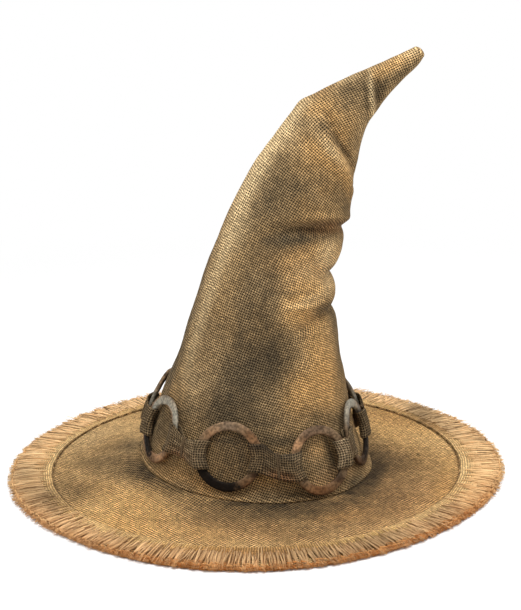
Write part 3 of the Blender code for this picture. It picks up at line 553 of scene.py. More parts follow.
def fold_height(points):
    """How far the folds lift or sink each point, by its distance to the line of each fold."""
    t = np.linspace(0, 1, FOLD_STEPS + 1)
    start, mid, end = (1 - t) * (1 - 2 * t), 4 * t * (1 - t), t * (2 * t - 1)
    strength = np.sin(math.pi * (FOLD_END_STRENGTH + (1 - 2 * FOLD_END_STRENGTH) * t))
    total = np.zeros(points.shape[:-1])
    for fold in CROWN_FOLDS:
        rise = start * fold.start_rise + mid * fold.mid_rise + end * fold.end_rise
        turn = start * fold.start_turn + mid * fold.mid_turn + end * fold.end_turn
        spots = [crown_grid(rise[k:k + 1], turn[k:k + 1])[0][0, 0] for k in range(len(t))]
        reach = np.zeros(points.shape[:-1])
        for spot, following, force, next_force in zip(spots, spots[1:], strength, strength[1:]):
            run = following - spot
            share = np.clip((points - spot) @ run / (run @ run), 0, 1)
            away = np.linalg.norm(points - spot - share[..., None] * run, axis=-1) / (fold.width * MM)
            here = force + share * (next_force - force)
            reach = np.maximum(reach, here * np.exp(-away ** fold.power))
        total += fold.height * MM * reach
    return total


def even_rises(count):
    """Rises that are evenly spaced along a line halfway between the crown's middle and its left side."""
    fine = np.linspace(0, len(CROWN_SECTIONS) - 1, FINE_RISES)
    middle, half_width = section_at(fine)[:2]
    steps = np.linalg.norm(np.diff(middle - half_width / 2, axis=0), axis=1)
    along = np.concatenate([[0], np.cumsum(steps)])
    return np.interp(np.linspace(0, along[-1], count), along, fine)


def grid_normals(points):
    """Normals of a grid of points whose last column meets its first, for a surface seen from outside."""
    around = np.roll(points, -1, axis=1) - np.roll(points, 1, axis=1)
    return unit(np.cross(around, np.gradient(points, axis=0)))


def crown_surface():
    """The crown's outer points, with folds, slack, hem and back seam, the plain points, and their turns."""
    rises = even_rises(CROWN_ROWS)
    turns = np.linspace(-180, 180, CROWN_COLUMNS, endpoint=False)
    plain, middle = crown_grid(rises, turns)
    hem = np.exp(-((rises - HEM_RISE) / HEM_SPREAD) ** 2)[:, None] * HEM_HEIGHT
    from_seam = np.radians(np.abs(turns)[None, :] - 180) * np.linalg.norm(plain - middle, axis=-1)
    seam = BACK_SEAM_HEIGHT * np.exp(-(from_seam / BACK_SEAM_WIDTH) ** 2)
    lift = fold_height(plain) + noises(plain, CROWN_SLACK)
    lift += (hem + seam) * smooth(0, FOOT_RISE, rises)[:, None]
    return plain + unit(plain - middle) * lift[..., None], plain, turns


def closed_faces(rows, columns, first=0, wrapped=False):
    """Quads of a grid whose last column meets its first. In a wrapped grid its last row meets the first."""
    row, column = np.meshgrid(np.arange(rows if wrapped else rows - 1), np.arange(columns), indexing="ij")
    below, after = (row + 1) % rows, (column + 1) % columns
    corners = ((row, column), (row, after), (below, after), (below, column))
    return np.stack([down * columns + along for down, along in corners], axis=-1).reshape(-1, 4) + first


def add_piece(name, points, faces, material, cloth=None, stain=None):
    """A mesh piece that rides on the root body. Cloth is each corner's place in the weave, in metres."""
    mesh = bpy.data.meshes.new(name)
    mesh.from_pydata(points.tolist(), [], faces)
    if cloth is not None:
        layer = mesh.uv_layers.new(name="weave")
        layer.data.foreach_set("uv", np.asarray(cloth, dtype=np.float32).ravel())
    if stain is not None:
        shades = mesh.attributes.new("stain", "FLOAT_COLOR", "POINT")
        shades.data.foreach_set("color", np.asarray(stain, dtype=np.float32).ravel())
    mesh.materials.append(material)
    mesh.shade_smooth()
    piece = bpy.data.objects.new(name, mesh)
    bpy.context.scene.collection.objects.link(piece)
    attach(piece, "root")
    return piece


def cloth_on_cone(points, turns):
    """Places in the weave of a cloth that was cut flat and rolled up, with its warp at WARP_TURN."""
    closed = np.concatenate([points, points[:, :1]], axis=1)
    along = np.linalg.norm(np.diff(closed, axis=0), axis=-1).mean(axis=1)
    rise = np.concatenate([[0], np.cumsum(along)])[:, None]
    around = np.linalg.norm(np.diff(closed, axis=1), axis=-1)
    across = np.concatenate([np.zeros((len(points), 1)), np.cumsum(around, axis=1)], axis=1)
    reference = np.argmin(np.abs(turns - WARP_TURN))
    radius = CONE_REACH - rise
    angle = (across - across[:, reference:reference + 1]) / radius
    return np.stack([radius * np.sin(angle), CONE_REACH - radius * np.cos(angle)], axis=-1)


def corner_cloth(cloth):
    """Weave places of the corners of closed_faces, from one place for each grid point."""
    corners = [cloth[:-1, :-1], cloth[:-1, 1:], cloth[1:, 1:], cloth[1:, :-1]]
    return np.stack(corners, axis=2).reshape(-1, 4, 2)


def make_crown(material):
    """The crown's cloth: its outer side with a rounded tip, its lining, and the rim between them."""
    outer, plain, turns = crown_surface()
    stain = paint(outer, grid_normals(outer), CROWN_STAINS)
    cloth = cloth_on_cone(plain, turns)
    end = outer[-1]
    middle = end.mean(axis=0)
    lean = unit(middle - outer[-TIP_LEAN_ROWS].mean(axis=0))
    tip = middle + lean * TIP_REACH
    share = np.arange(1, TIP_ROWS)[:, None, None] / TIP_ROWS
    angle = math.pi / 2 * share
    cap = middle + (end - middle) * np.cos(angle) + lean * TIP_REACH * np.sin(angle)
    outer = np.concatenate([outer, cap])
    cloth = np.concatenate([cloth, cloth[-1:] + share * (0, TIP_REACH)])
    stain = np.concatenate([stain, np.repeat(stain[-1:], TIP_ROWS - 1, axis=0)])
    lining = slice(0, CROWN_ROWS, LINING_STEP)
    inner = (outer - grid_normals(outer) * CROWN_WALL)[lining]
    tip_wall = tip - lean * 2 * CROWN_WALL
    points = np.concatenate([outer.reshape(-1, 3), [tip], inner.reshape(-1, 3), [tip_wall]])
    rows, columns = outer.shape[:2]
    tip_index, wall_index = rows * columns, len(points) - 1
    inner_first = tip_index + 1
    top, inner_top = tip_index - columns, wall_index - columns
    ring = np.arange(columns)
    after = (ring + 1) % columns
    inner_faces = closed_faces(len(inner), columns, inner_first)[:, ::-1]
    rim = np.stack([ring, inner_first + ring, inner_first + after, after], axis=1)
    quads = np.concatenate([closed_faces(rows, columns), inner_faces, rim])
    tip_faces = np.stack([top + ring, top + after, np.full(columns, tip_index)], axis=1)
    inner_tips = np.stack([inner_top + after, inner_top + ring, np.full(columns, wall_index)], axis=1)
    rim_cloth = np.stack([cloth[0, :-1], cloth[0, :-1], cloth[0, 1:], cloth[0, 1:]], axis=1)
    tip_cloth = np.stack([cloth[-1, :-1], cloth[-1, 1:], cloth[-1, 1:]], axis=1)
    inner_cloth = corner_cloth(cloth[lining])[:, ::-1]
    cloths = (corner_cloth(cloth), inner_cloth, rim_cloth, tip_cloth, tip_cloth)
    places = np.concatenate([part.reshape(-1, 2) for part in cloths])
    tip_stain = stain[-1, :1]
    stains = np.concatenate([stain.reshape(-1, 4), tip_stain, stain[lining].reshape(-1, 4), tip_stain])
    faces = quads.tolist() + tip_faces.tolist() + inner_tips.tolist()
    crown = add_piece("crown_cloth", points, faces, material, places, stains)
    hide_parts("crown")
    return crown


def paint(points, normals, stains):
    """Each kind of stain at each point: as in the photograph where the camera sees it, else by chance."""
    across, down = project(points)
    place = CAMERA_TARGET + CAMERA_DISTANCE * camera_axes()[2]
    facing = smooth(*FACING, (normals * unit(place - points)).sum(axis=-1))
    ragged = 1 + noises(points, STAIN_RAGGED)
    total = np.zeros(points.shape[:-1] + (len(KINDS),))
    for stain in stains:
        tilt = math.radians(stain.tilt)
        x, y = across - stain.x, down - stain.y
        along = (x * math.cos(tilt) + y * math.sin(tilt)) / stain.half_long
        wide = (y * math.cos(tilt) - x * math.sin(tilt)) / stain.half_wide
        reach = np.exp(-(along ** 2 + wide ** 2) * ragged) * facing
        total[..., KINDS.index(stain.kind)] += reach * stain.strength
    cloudy = noises(points, STAIN_CLOUDS)
    hidden = 1 - facing
    total[..., 0] += hidden * (HIDDEN_DIRT + smooth(*CLOUDY, cloudy) * HIDDEN_CLOUDS)
    total[..., 1] += hidden * smooth(*CLEAR, -cloudy) * HIDDEN_GOLD
    return 1 - np.exp(-STAIN_DEPTH * np.maximum(total, 0))


def seam_height(points):
    return SEAM_HEIGHT + SEAM_SLOPE_X * points[..., 0] + SEAM_SLOPE_Y * points[..., 1]


def rim_shift(turn):
    """How much further out than a circle the rim is."""
    return RIM_LOBE * np.cos(4 * np.radians(turn))


def brim_top(radius, turn):
    """Points on the brim's upper side."""
    share = np.interp(radius, BRIM_RADII, BRIM_SHARES)
    seam = seam_height(on_turn(np.minimum(radius, SEAM_RADIUS), turn, 0.0))
    return on_turn(radius, turn, BRIM_WALL + share * (seam - SEAM_GAP - BRIM_WALL))


def trim_shadow_reach(points):
    """How far each point lies in the broken painted shadow line at the trim's inner edge. It fades out in
    front.
    """
    radius = np.hypot(points[..., 0], points[..., 1])
    behind = smooth(TRIM_SHADOW_FRONT, TRIM_SHADOW_FULL, points[..., 1])
    broken = TRIM_SHADOW_SHARE + noises(points, TRIM_SHADOW_BREAKS)
    return behind * broken * np.exp(-((radius - TRIM_RADIUS) / TRIM_SHADOW_WIDTH) ** 2)


def ring_strip(name, upper, lower, material, cloth_of, stains):
    """A closed flat ring between its upper and lower grids, whose rows run outwards."""
    columns = upper.shape[1]
    stain = paint(upper, grid_normals(upper) * -1, stains)
    # Painted shadow along the trim's inner edge, darkened and browned.
    trim_shadow = trim_shadow_reach(upper)
    stain[..., 0] = np.clip(stain[..., 0] + TRIM_SHADOW_DARK * trim_shadow, 0, 1)
    stain[..., 2] = np.clip(stain[..., 2] + TRIM_SHADOW_BROWN * trim_shadow, 0, 1)
    points = np.concatenate([upper.reshape(-1, 3), lower.reshape(-1, 3)])
    first = upper.shape[0] * columns
    top = closed_faces(upper.shape[0], columns)[:, ::-1]
    bottom = closed_faces(lower.shape[0], columns, first)
    ring = np.arange(columns)
    after = (ring + 1) % columns
    out, out_low = (upper.shape[0] - 1) * columns, first + (lower.shape[0] - 1) * columns
    inside = np.stack([ring, first + ring, first + after, after], axis=1)[:, ::-1]
    outside = np.stack([out + ring, out_low + ring, out_low + after, out + after], axis=1)
    faces = np.concatenate([top, bottom, inside, outside])
    cloth = cloth_of(points)[faces]
    lower_stain = paint(lower, grid_normals(lower), stains)
    stained = np.concatenate([stain.reshape(-1, 4), lower_stain.reshape(-1, 4)])
    return add_piece(name, points, faces.tolist(), material, cloth, stained)


def bias_cloth(points):
    """Threads that run slantwise."""
    sine, cosine = math.sin(math.radians(BIAS_TURN)), math.cos(math.radians(BIAS_TURN))
    x, y = points[:, 0], points[:, 1]
    return np.stack([x * cosine + y * sine, y * cosine - x * sine], axis=1)


def make_brim(material):
    turns = all_round(BRIM_COLUMNS)
    share = np.linspace(0, 1, BRIM_FINE_ROWS)[:, None]
    radius = BRIM_HOLE_RADIUS + share * (BRIM_RADIUS - BRIM_HOLE_RADIUS)
    lobes = on_turn(share ** RIM_LOBE_POWER * rim_shift(turns), turns + 0 * share, 0.0)
    plain = brim_top(radius + 0 * turns, turns + 0 * radius) + lobes
    free = smooth(*BUMPS_START, radius) * (1 - smooth(*BUMPS_END, radius))
    upper = plain.copy()
    upper[..., 2] += free * noises(upper, BRIM_BUMPS)
    keep = np.linspace(0, BRIM_FINE_ROWS - 1, BRIM_LOW_ROWS).astype(int)
    lower = plain[keep] - (0, 0, BRIM_WALL)
    brim = ring_strip("brim_cloth", upper, lower, material, bias_cloth, BRIM_STAINS)
    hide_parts("brim")
    return brim


def round_cloth(points):
    """Threads that run round the hat, and others straight outwards."""
    radius = np.hypot(points[:, 0], points[:, 1])
    turn = np.arctan2(points[:, 0], -points[:, 1])
    return np.stack([turn * TRIM_RADIUS, radius], axis=1)


def make_trim(material):
    turns = all_round(TRIM_COLUMNS)
    share = np.linspace(0, 1, TRIM_ROWS)[:, None]
    radius = TRIM_RADIUS + share * (TRIM_FRAY_RADIUS - TRIM_RADIUS)
    radius = radius + (1 - share) * noises(on_turn(TRIM_RADIUS, turns, 0.0), TRIM_RAGGED)
    middle = brim_top(radius, turns + 0 * radius)
    full = np.sqrt(np.clip(1 - (2 * share - 1) ** TRIM_EDGE_POWER, TRIM_LEAST, 1))
    wall = TRIM_WALL * (TRIM_EDGE_WALL + (1 - TRIM_EDGE_WALL) * full)
    upper = middle + on_turn(0 * radius, turns, SEAM_GAP + wall)
    upper[..., 2] += noises(upper, TRIM_BUMPS)
    lower = (middle + on_turn(0 * radius, turns, SEAM_GAP))[::TRIM_LOW_STEP]
    trim = ring_strip("trim_cloth", upper, lower, material, round_cloth, TRIM_STAINS)
    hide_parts("brim_fringe")
    return trim


def tubes(paths, radii):
    """Points and faces of closed four-sided strands along many paths of the same number of points."""
    count, steps = paths.shape[:2]
    ahead = unit(np.gradient(paths, axis=1))
    hint = np.tile(np.array([0.2, 0.1, 1.0]), (count, steps, 1))
    side = unit(np.cross(ahead, hint))
    lift = np.cross(side, ahead)
    corners = [side, lift, -side, -lift]
    points = np.stack([paths + radii[..., None] * corner for corner in corners], axis=2)
    strand = (np.arange(count) * steps * 4)[:, None, None]
    step = (np.arange(steps - 1) * 4)[None, :, None]
    k = np.arange(4)[None, None, :]
    after = (k + 1) % 4
    row = strand + step
    sides = np.stack([row + k, row + after, row + 4 + after, row + 4 + k], axis=-1)
    start = strand[:, 0] + np.array([3, 2, 1, 0])
    end = strand[:, 0] + (steps - 1) * 4 + np.array([0, 1, 2, 3])
    return points.reshape(-1, 3), np.concatenate([sides.reshape(-1, 4), start, end])


def strand_piece(name, paths, radii, shades, material):
    points, faces = tubes(paths, radii)
    stain = np.repeat(shades.reshape(-1, 4), 4, axis=0)
    return add_piece(name, points, faces.tolist(), material, None, stain)


def chance_of(number):
    """A steady random share for each number."""
    found = np.sin(number * CHANCE_STEP) * CHANCE_SCALE
    return found - np.floor(found)


def front_share(turn):
    """1 in front, and 0 at the sides and back."""
    return smooth(0.0, FRONT_FULL, np.cos(np.radians(turn)))


def edge_redness(turn):
    """1 where the cut edge is red, and 0 on the far side."""
    return smooth(EDGE_RED_LOW, EDGE_RED_FULL, np.cos(np.radians(turn - EDGE_RED_MIDDLE)))


def make_strands(layer, material):
    """Frayed threads of the trim, drawn together into many small locks with gaps between them."""
    t = np.linspace(0, 1, STRAND_STEPS)[None, :]
    turn = (np.arange(layer.count) + random.uniform(-0.5, 0.5, layer.count)) * 360 / layer.count
    phase = turn * STRAND_LOCKS / 360
    for drift, waves in LOCK_DRIFTS:
        phase = phase + drift * np.sin(np.radians(turn * waves))
    lock = np.floor(phase)
    off_middle = phase - lock - 0.5
    chance = chance_of(lock) - 0.5
    front = front_share(turn)
    plain = (1 - edge_redness(turn)) * smooth(PLAIN_LOW, PLAIN_FULL, np.cos(np.radians(turn)))
    root = random.uniform(layer.root_low, layer.root_high, layer.count) * MM
    reach = layer.reach * MM + chance * LOCK_REACH + rim_shift(turn) + PLAIN_REACH * plain
    reach += random.normal(0, 1, layer.count) * layer.wild * MM
    reach = np.minimum(reach, STRAND_REACH)
    side = random.normal(0, 1, layer.count) * layer.wild * STRAND_SWAY + chance * LOCK_SWAY
    lift = random.normal(0, 1, layer.count) * layer.wild * STRAND_LIFT
    radius = root[:, None] + (reach - root)[:, None] * t
    drawn = -off_middle * 360 / STRAND_LOCKS * layer.clump
    bend = drawn[:, None] * t ** DRAW_POWER + side[:, None] * t ** SWAY_POWER
    droop = (DROOP + FRONT_DROOP * front + PLAIN_DROOP * plain)[:, None]
    start = brim_top(root, turn)[:, 2] + layer.height * MM - BRIM_WALL
    height = start[:, None] + lift[:, None] * t ** LIFT_POWER - droop * t ** 3
    height = np.maximum(height, STRAND_FLOOR + ROOT_FLOOR * (1 - t))
    paths = on_turn(radius, turn[:, None] + bend, height)
    sizes = random.uniform(*STRAND_SIZES, layer.count)[:, None]
    radii = sizes * STRAND_RADIUS * (1 - STRAND_TAPER * t ** 2)
    tone = layer.tone + random.normal(0, STRAND_TONES, layer.count) + chance * LOCK_TONES
    tone = np.clip(tone - LOCK_EDGE_SHADE * (2 * off_middle) ** 2 - FRONT_SHADE * front, 0, 1)
    up = np.tile((0.0, 0.0, 1.0), paths.shape[:2] + (1,))
    stain = paint(paths, up, TRIM_STAINS)
    red = random.uniform(0, STRAND_RED, layer.count)[:, None]
    red = np.clip(red + front[:, None] * (FRONT_RED + FRONT_END_RED * t ** 2), 0, 1)
    # The trim's painted shade and painted light reach the strands through its dirt and pale stains.
    shades = np.stack([tone[:, None] + 0 * t, stain[..., 0], red, stain[..., 3]], axis=-1)
    strands = strand_piece(f"trim_strands_{layer.name}", paths, radii, shades, material)
    return strands


def make_edge_core(material):
    """The lumpy core of the brim's cut edge."""
    turns = all_round(EDGE_COLUMNS)
    angle = all_round(EDGE_SIDES, 2 * np.pi).T
    lump = 1 + noises(on_turn(CORE_NOISE_RADIUS, turns, 0.0), CORE_LUMPS)
    radius = CORE_RADIUS + rim_shift(turns) + CORE_HALF_WIDTH * lump * np.cos(angle)
    height = CORE_HEIGHT + CORE_HALF_HEIGHT * np.minimum(lump, CORE_MOST_LUMP) * np.sin(angle)
    points = on_turn(radius, turns + 0 * angle, np.maximum(height, CORE_FLOOR)).reshape(-1, 3)
    faces = closed_faces(EDGE_SIDES, EDGE_COLUMNS, wrapped=True)[:, [0, 3, 2, 1]]
    tone = np.clip(CORE_TONE + noises(points, CORE_TONES), 0, 1)
    red = edge_redness(np.degrees(np.arctan2(points[:, 0], -points[:, 1])))
    stain = np.stack([tone, 0 * tone, CORE_RED + CORE_FULL_RED * red, CORE_PALE * (1 - red)], axis=1)
    core = add_piece("edge_core", points, faces.tolist(), material, None, stain)
    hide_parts("brim_edge")


def make_edge_fibres(material):
    """Thousands of short curled fibres on the brim's cut edge."""
    count = EDGE_FIBRES
    t = np.linspace(0, 1, EDGE_STEPS)[None, :]
    turn = random.uniform(-180, 180, count)
    red_share = edge_redness(turn)
    on_top = random.uniform(0, 1, count) < FIBRES_ON_TOP * red_share
    root = np.where(on_top, random.uniform(*FIBRE_ROOTS_ON_TOP, count), FIBRE_ROOT) * MM + rim_shift(turn)
    high, low = random.uniform(*FIBRE_HEIGHTS_ON_TOP, count), random.uniform(*FIBRE_HEIGHTS, count)
    tuft = noises(on_turn(EDGE_RADIUS, turn, 0.0), EDGE_TUFTS)
    start = np.where(on_top, high, low) * MM + TUFT_HEIGHT * tuft
    length = random.uniform(*FIBRE_LENGTHS, count) * (1 + TUFT_LENGTH * tuft) * MM
    length *= np.where(on_top, TOP_LENGTH, 1.0) * (PLAIN_LENGTH + (1 - PLAIN_LENGTH) * red_share)
    side = random.normal(0, FIBRE_SWAY, count) * MM
    rise = random.normal(FIBRE_RISE, FIBRE_RISE_SPREAD, count) * MM
    curl = random.normal(0, FIBRE_CURL, count)[:, None] * MM
    swirl = random.uniform(0, 2 * np.pi, count)[:, None]
    away = root[:, None] + length[:, None] * t * (1 - FIBRE_SLOWING * t)
    height = start[:, None] + rise[:, None] * t - FIBRE_DROOP * t ** 2
    height += FIBRE_LIFTING * curl * (np.cos(EDGE_CURLING * t + swirl) - np.cos(swirl))
    height = np.clip(height, FIBRE_LOWEST, FIBRE_HIGHEST)
    across = side[:, None] * t + curl * (np.sin(EDGE_CURLING * t + swirl) - np.sin(swirl))
    bend = np.degrees(across / EDGE_RADIUS)
    paths = on_turn(np.minimum(away, STRAND_REACH), turn[:, None] + bend, height)
    radii = random.uniform(*FIBRE_RADII, count)[:, None] * MM * (1 - FIBRE_TAPER * t)
    tone = np.clip(random.normal(FIBRE_TONE, FIBRE_TONE_SPREAD, count) + TUFT_TONE * tuft, 0, 1)
    red = random.uniform(*FIBRE_REDS, count) * red_share
    red *= 1 - TUFT_LESS_RED * smooth(0.0, TUFT_RED_FULL, tuft)
    dirt = smooth(0.0, TUFT_DIRT_FULL, -tuft) * random.uniform(*FIBRE_DIRTS, count)
    shades = np.stack([tone, dirt, red, FIBRE_PALE * (1 - red_share) * tone], axis=-1)
    shades = shades[:, None] + 0 * t[..., None]
    fibres = strand_piece("edge_fibres", paths, radii, shades, material)


def node_points(node):
    """Places of a CAD node's corners, each once."""
    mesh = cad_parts[node].data
    points = np.zeros(len(mesh.vertices) * 3)
    mesh.vertices.foreach_get("co", points)
    return np.unique(np.round(points.reshape(-1, 3), 6), axis=0)


def ring_frame(number):
    """Where the ring's solid lies: its middle, and its directions along the band, up and outwards."""
    points = node_points(f"ring_{number}")
    middle = points.mean(axis=0)
    out = np.linalg.svd(points - middle)[2][2]
    out = out * np.sign(out[:2] @ middle[:2])
    along = unit(np.cross((0.0, 0.0, 1.0), out))
    return RingFrame(middle, along, np.cross(out, along), out)


def make_ring(number, ring, material):
    round_turn, angle = all_round(RING_COLUMNS, 2 * np.pi), all_round(RING_SIDES, 2 * np.pi).T
    power = 2 / RING_SQUARENESS
    across = (RING_RADIUS - RING_HOLE_RADIUS) / 2 * powered(np.cos(angle), power)
    thick = RING_THICKNESS / 2 * powered(np.sin(angle), power)
    spoke = ring.along * np.sin(round_turn)[..., None] + ring.up * np.cos(round_turn)[..., None]
    points = ring.middle + spoke * (RING_LIMB_RADIUS + across)[..., None] + ring.out * thick[..., None]
    core = ring.middle + spoke * RING_LIMB_RADIUS
    broad, fine = Noise(1, RING_DENT_SIZE, number), Noise(RING_FINE, RING_DENT_SIZE / 3, number + 9)
    lift = RING_DENT * (noises(points, (broad, fine)) - RING_WORN)
    points = points + unit(points - core) * lift[..., None]
    stain = paint(points, unit(points - core), RING_STAINS).reshape(-1, 4)
    faces = closed_faces(RING_SIDES, RING_COLUMNS, wrapped=True)[:, ::-1]
    metal = add_piece(f"ring_{number}_metal", points.reshape(-1, 3), faces.tolist(), material, None, stain)
    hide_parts(f"ring_{number}")
    return metal


def link_run(before, after, side, pinch, sag):
    """Stations of one layer between two rings, flat over the metal and drawn in between them."""
    lift = side * LINK_OFFSET
    flat = []
    for ring, way in ((before, 1), (after, -1)):
        for reach, share in ((RING_LIMB_RADIUS, 1), (RING_LIMB_RADIUS + LINK_FLAT, 0.5)):
            middle = ring.middle + way * reach * ring.along + lift * ring.out
            shift = -way * share * LINK_EDGE_SHIFT * ring.along
            flat.append(LinkStation(middle, side * ring.out, LINK_HALF_HEIGHT, shift, ring.up))
    first, leave, last, reach = flat
    start, end = leave.middle - lift * before.out, reach.middle - lift * after.out
    depth = min(LINK_OFFSET - LINK_PINCH_OFFSET, np.linalg.norm(end - start) / 2 * LINK_DRAW_SLOPE)
    narrowing = (LINK_HALF_HEIGHT - pinch) * depth / (LINK_OFFSET - LINK_PINCH_OFFSET)
    between, upright = unit(before.out + after.out), unit(before.up + after.up)
    middle = (start + end) / 2 + side * (LINK_OFFSET - depth) * between - sag * upright
    drawn = LinkStation(middle, side * between, LINK_HALF_HEIGHT - narrowing, np.zeros(3), upright)
    return [first, leave, drawn, reach, last]


def link_turn(ring, way, side):
    """Stations where the cloth folds round a ring's metal and back under it."""
    spot = ring.middle - way * RING_LIMB_RADIUS * ring.along
    found = []
    for step in range(1, LINK_TURN_STEPS):
        angle = math.pi * step / LINK_TURN_STEPS
        forward = way * ring.along * math.sin(angle)
        sideways = side * ring.out * math.cos(angle)
        middle = spot + forward * LINK_TURN_REACH + sideways * LINK_OFFSET
        found.append(LinkStation(middle, unit(forward + sideways), LINK_HALF_HEIGHT,
                                 way * LINK_EDGE_SHIFT * ring.along, ring.up))
    return found


def closed_spline(rows, count):
    """A smooth closed run of count rows through these rows, evenly spaced by their first three numbers."""
    fine = np.linspace(0, len(rows), SPLINE_STEPS * len(rows), endpoint=False)
    step = fine.astype(int)
    t = (fine - step)[:, None]
    a, b, c, d = (rows[(step + k) % len(rows)] for k in (-1, 0, 1, 2))
    found = b + 0.5 * t * (c - a + t * (2 * a - 5 * b + 4 * c - d + t * (3 * (b - c) + d - a)))
    closed = np.concatenate([found, found[:1]])
    along = np.concatenate([[0], np.cumsum(np.linalg.norm(np.diff(closed[:, :3], axis=0), axis=1))])
    even = np.linspace(0, along[-1], count, endpoint=False)
    return np.stack([np.interp(even, along, column) for column in closed.T], axis=1), along[-1]


def make_link(number, before, after, material):
    """A folded strip of cloth round the near sides of two rings, drawn together between them."""
    pinch, sag = LINK_PINCHES[number - 1], LINK_SAGS[number - 1]
    stations = link_run(before, after, 1, pinch, sag) + link_turn(after, 1, 1)
    stations += list(reversed(link_run(before, after, -1, pinch, sag))) + link_turn(before, -1, -1)
    rows, length = closed_spline(np.array([np.hstack(station) for station in stations]), LINK_STATIONS)
    middle, out, half, shift, up = np.split(rows, (3, 6, 7, 10), axis=1)
    out, up = unit(out), unit(up)
    across = np.linspace(-1, 1, LINK_ACROSS)
    spot = middle[:, None] + up[:, None] * half[:, None] * across[None, :, None]
    spot = spot + shift[:, None] * (across ** 2)[None, :, None]
    drawn = np.clip((LINK_HALF_HEIGHT - half) / (LINK_HALF_HEIGHT - pinch), 0, 1)
    spread = np.clip(4 * drawn * (1 - drawn), 0, 1) + LINK_PINCHED_WRINKLE * drawn
    wave = np.sin(across * LINK_WRINKLES * math.pi / 2 + number + 2 * np.sin(across * 2 + number))
    lift = LINK_WRINKLE * spread * wave + LINK_BUMP * noise_at(spot, LINK_BUMP_SIZE, number)
    full = np.sqrt(np.clip(1 - across ** LINK_EDGE_POWER, LINK_LEAST, 1))
    wall = LINK_WALL / 2 * full * (1 + LINK_UNEVEN * noise_at(spot, LINK_UNEVEN_SIZE, number + 4))
    outer = spot + out[:, None] * (lift + wall)[..., None]
    inner = spot - out[:, None] * wall[..., None]
    profile = np.concatenate([outer, inner[:, ::-1]], axis=1)
    columns = profile.shape[1]
    faces = closed_faces(LINK_STATIONS, columns, wrapped=True)
    widths = np.concatenate([across, across[::-1]]) * LINK_HALF_HEIGHT
    along = np.arange(LINK_STATIONS + 1) * length / LINK_STATIONS
    here, width = np.meshgrid(along[:-1], widths, indexing="ij")
    there, next_width = np.meshgrid(along[1:], np.roll(widths, -1), indexing="ij")
    corners = ((width, here), (next_width, here), (next_width, there), (width, there))
    cloth = np.stack([np.stack(corner, axis=-1) for corner in corners], axis=2).reshape(-1, 4, 2)
    outwards = np.repeat(out[:, None], LINK_ACROSS, axis=1)
    stain = paint(profile, np.concatenate([outwards, -outwards], axis=1), LINK_STAINS).reshape(-1, 4)
    link = add_piece(f"link_{number}_cloth", profile.reshape(-1, 3), faces.tolist(), material, cloth, stain)
    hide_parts(f"link_{number}")
    return link, length


def make_wraps(number, before, after, material):
    """Thread wound round the drawn-in middle of a link."""
    pinch, sag = LINK_PINCHES[number - 1], LINK_SAGS[number - 1]
    front, back = (link_run(before, after, side, pinch, sag)[2] for side in (1, -1))
    middle = (front.middle + back.middle) / 2
    along = unit(np.cross(front.up, front.out))
    half_thick = (np.linalg.norm(front.middle - back.middle) + LINK_WALL) / 2 + LINK_WRAP_RADIUS + WRAP_SLACK
    half_high = front.half_height + LINK_WRAP_RADIUS
    t = np.linspace(0, 1, LINK_WRAP_STEPS)
    paths = []
    for wrap in range(LINK_WRAPS):
        angle = 2 * np.pi * t * WRAP_ROUND + wrap * WRAP_START
        away = (wrap - (LINK_WRAPS - 1) / 2 + t) * WRAP_PITCH + random.normal(0, WRAP_UNEVEN)
        high = half_high * powered(np.cos(angle), WRAP_HIGH_POWER)
        thick = half_thick * powered(np.sin(angle), WRAP_THICK_POWER)
        paths.append(middle + away[:, None] * along + high[:, None] * front.up + thick[:, None] * front.out)
    paths = np.array(paths)
    radii = np.full(paths.shape[:2], LINK_WRAP_RADIUS)
    tone = WRAP_TONE + random.uniform(-WRAP_TONE_SPREAD, WRAP_TONE_SPREAD, (LINK_WRAPS, 1)) + 0 * radii
    shades = np.stack([tone, WRAP_DIRT + 0 * tone, WRAP_RED + 0 * tone, 0 * tone], axis=-1)
    wraps = strand_piece(f"link_{number}_thread", paths, radii, shades, material)
    return wraps


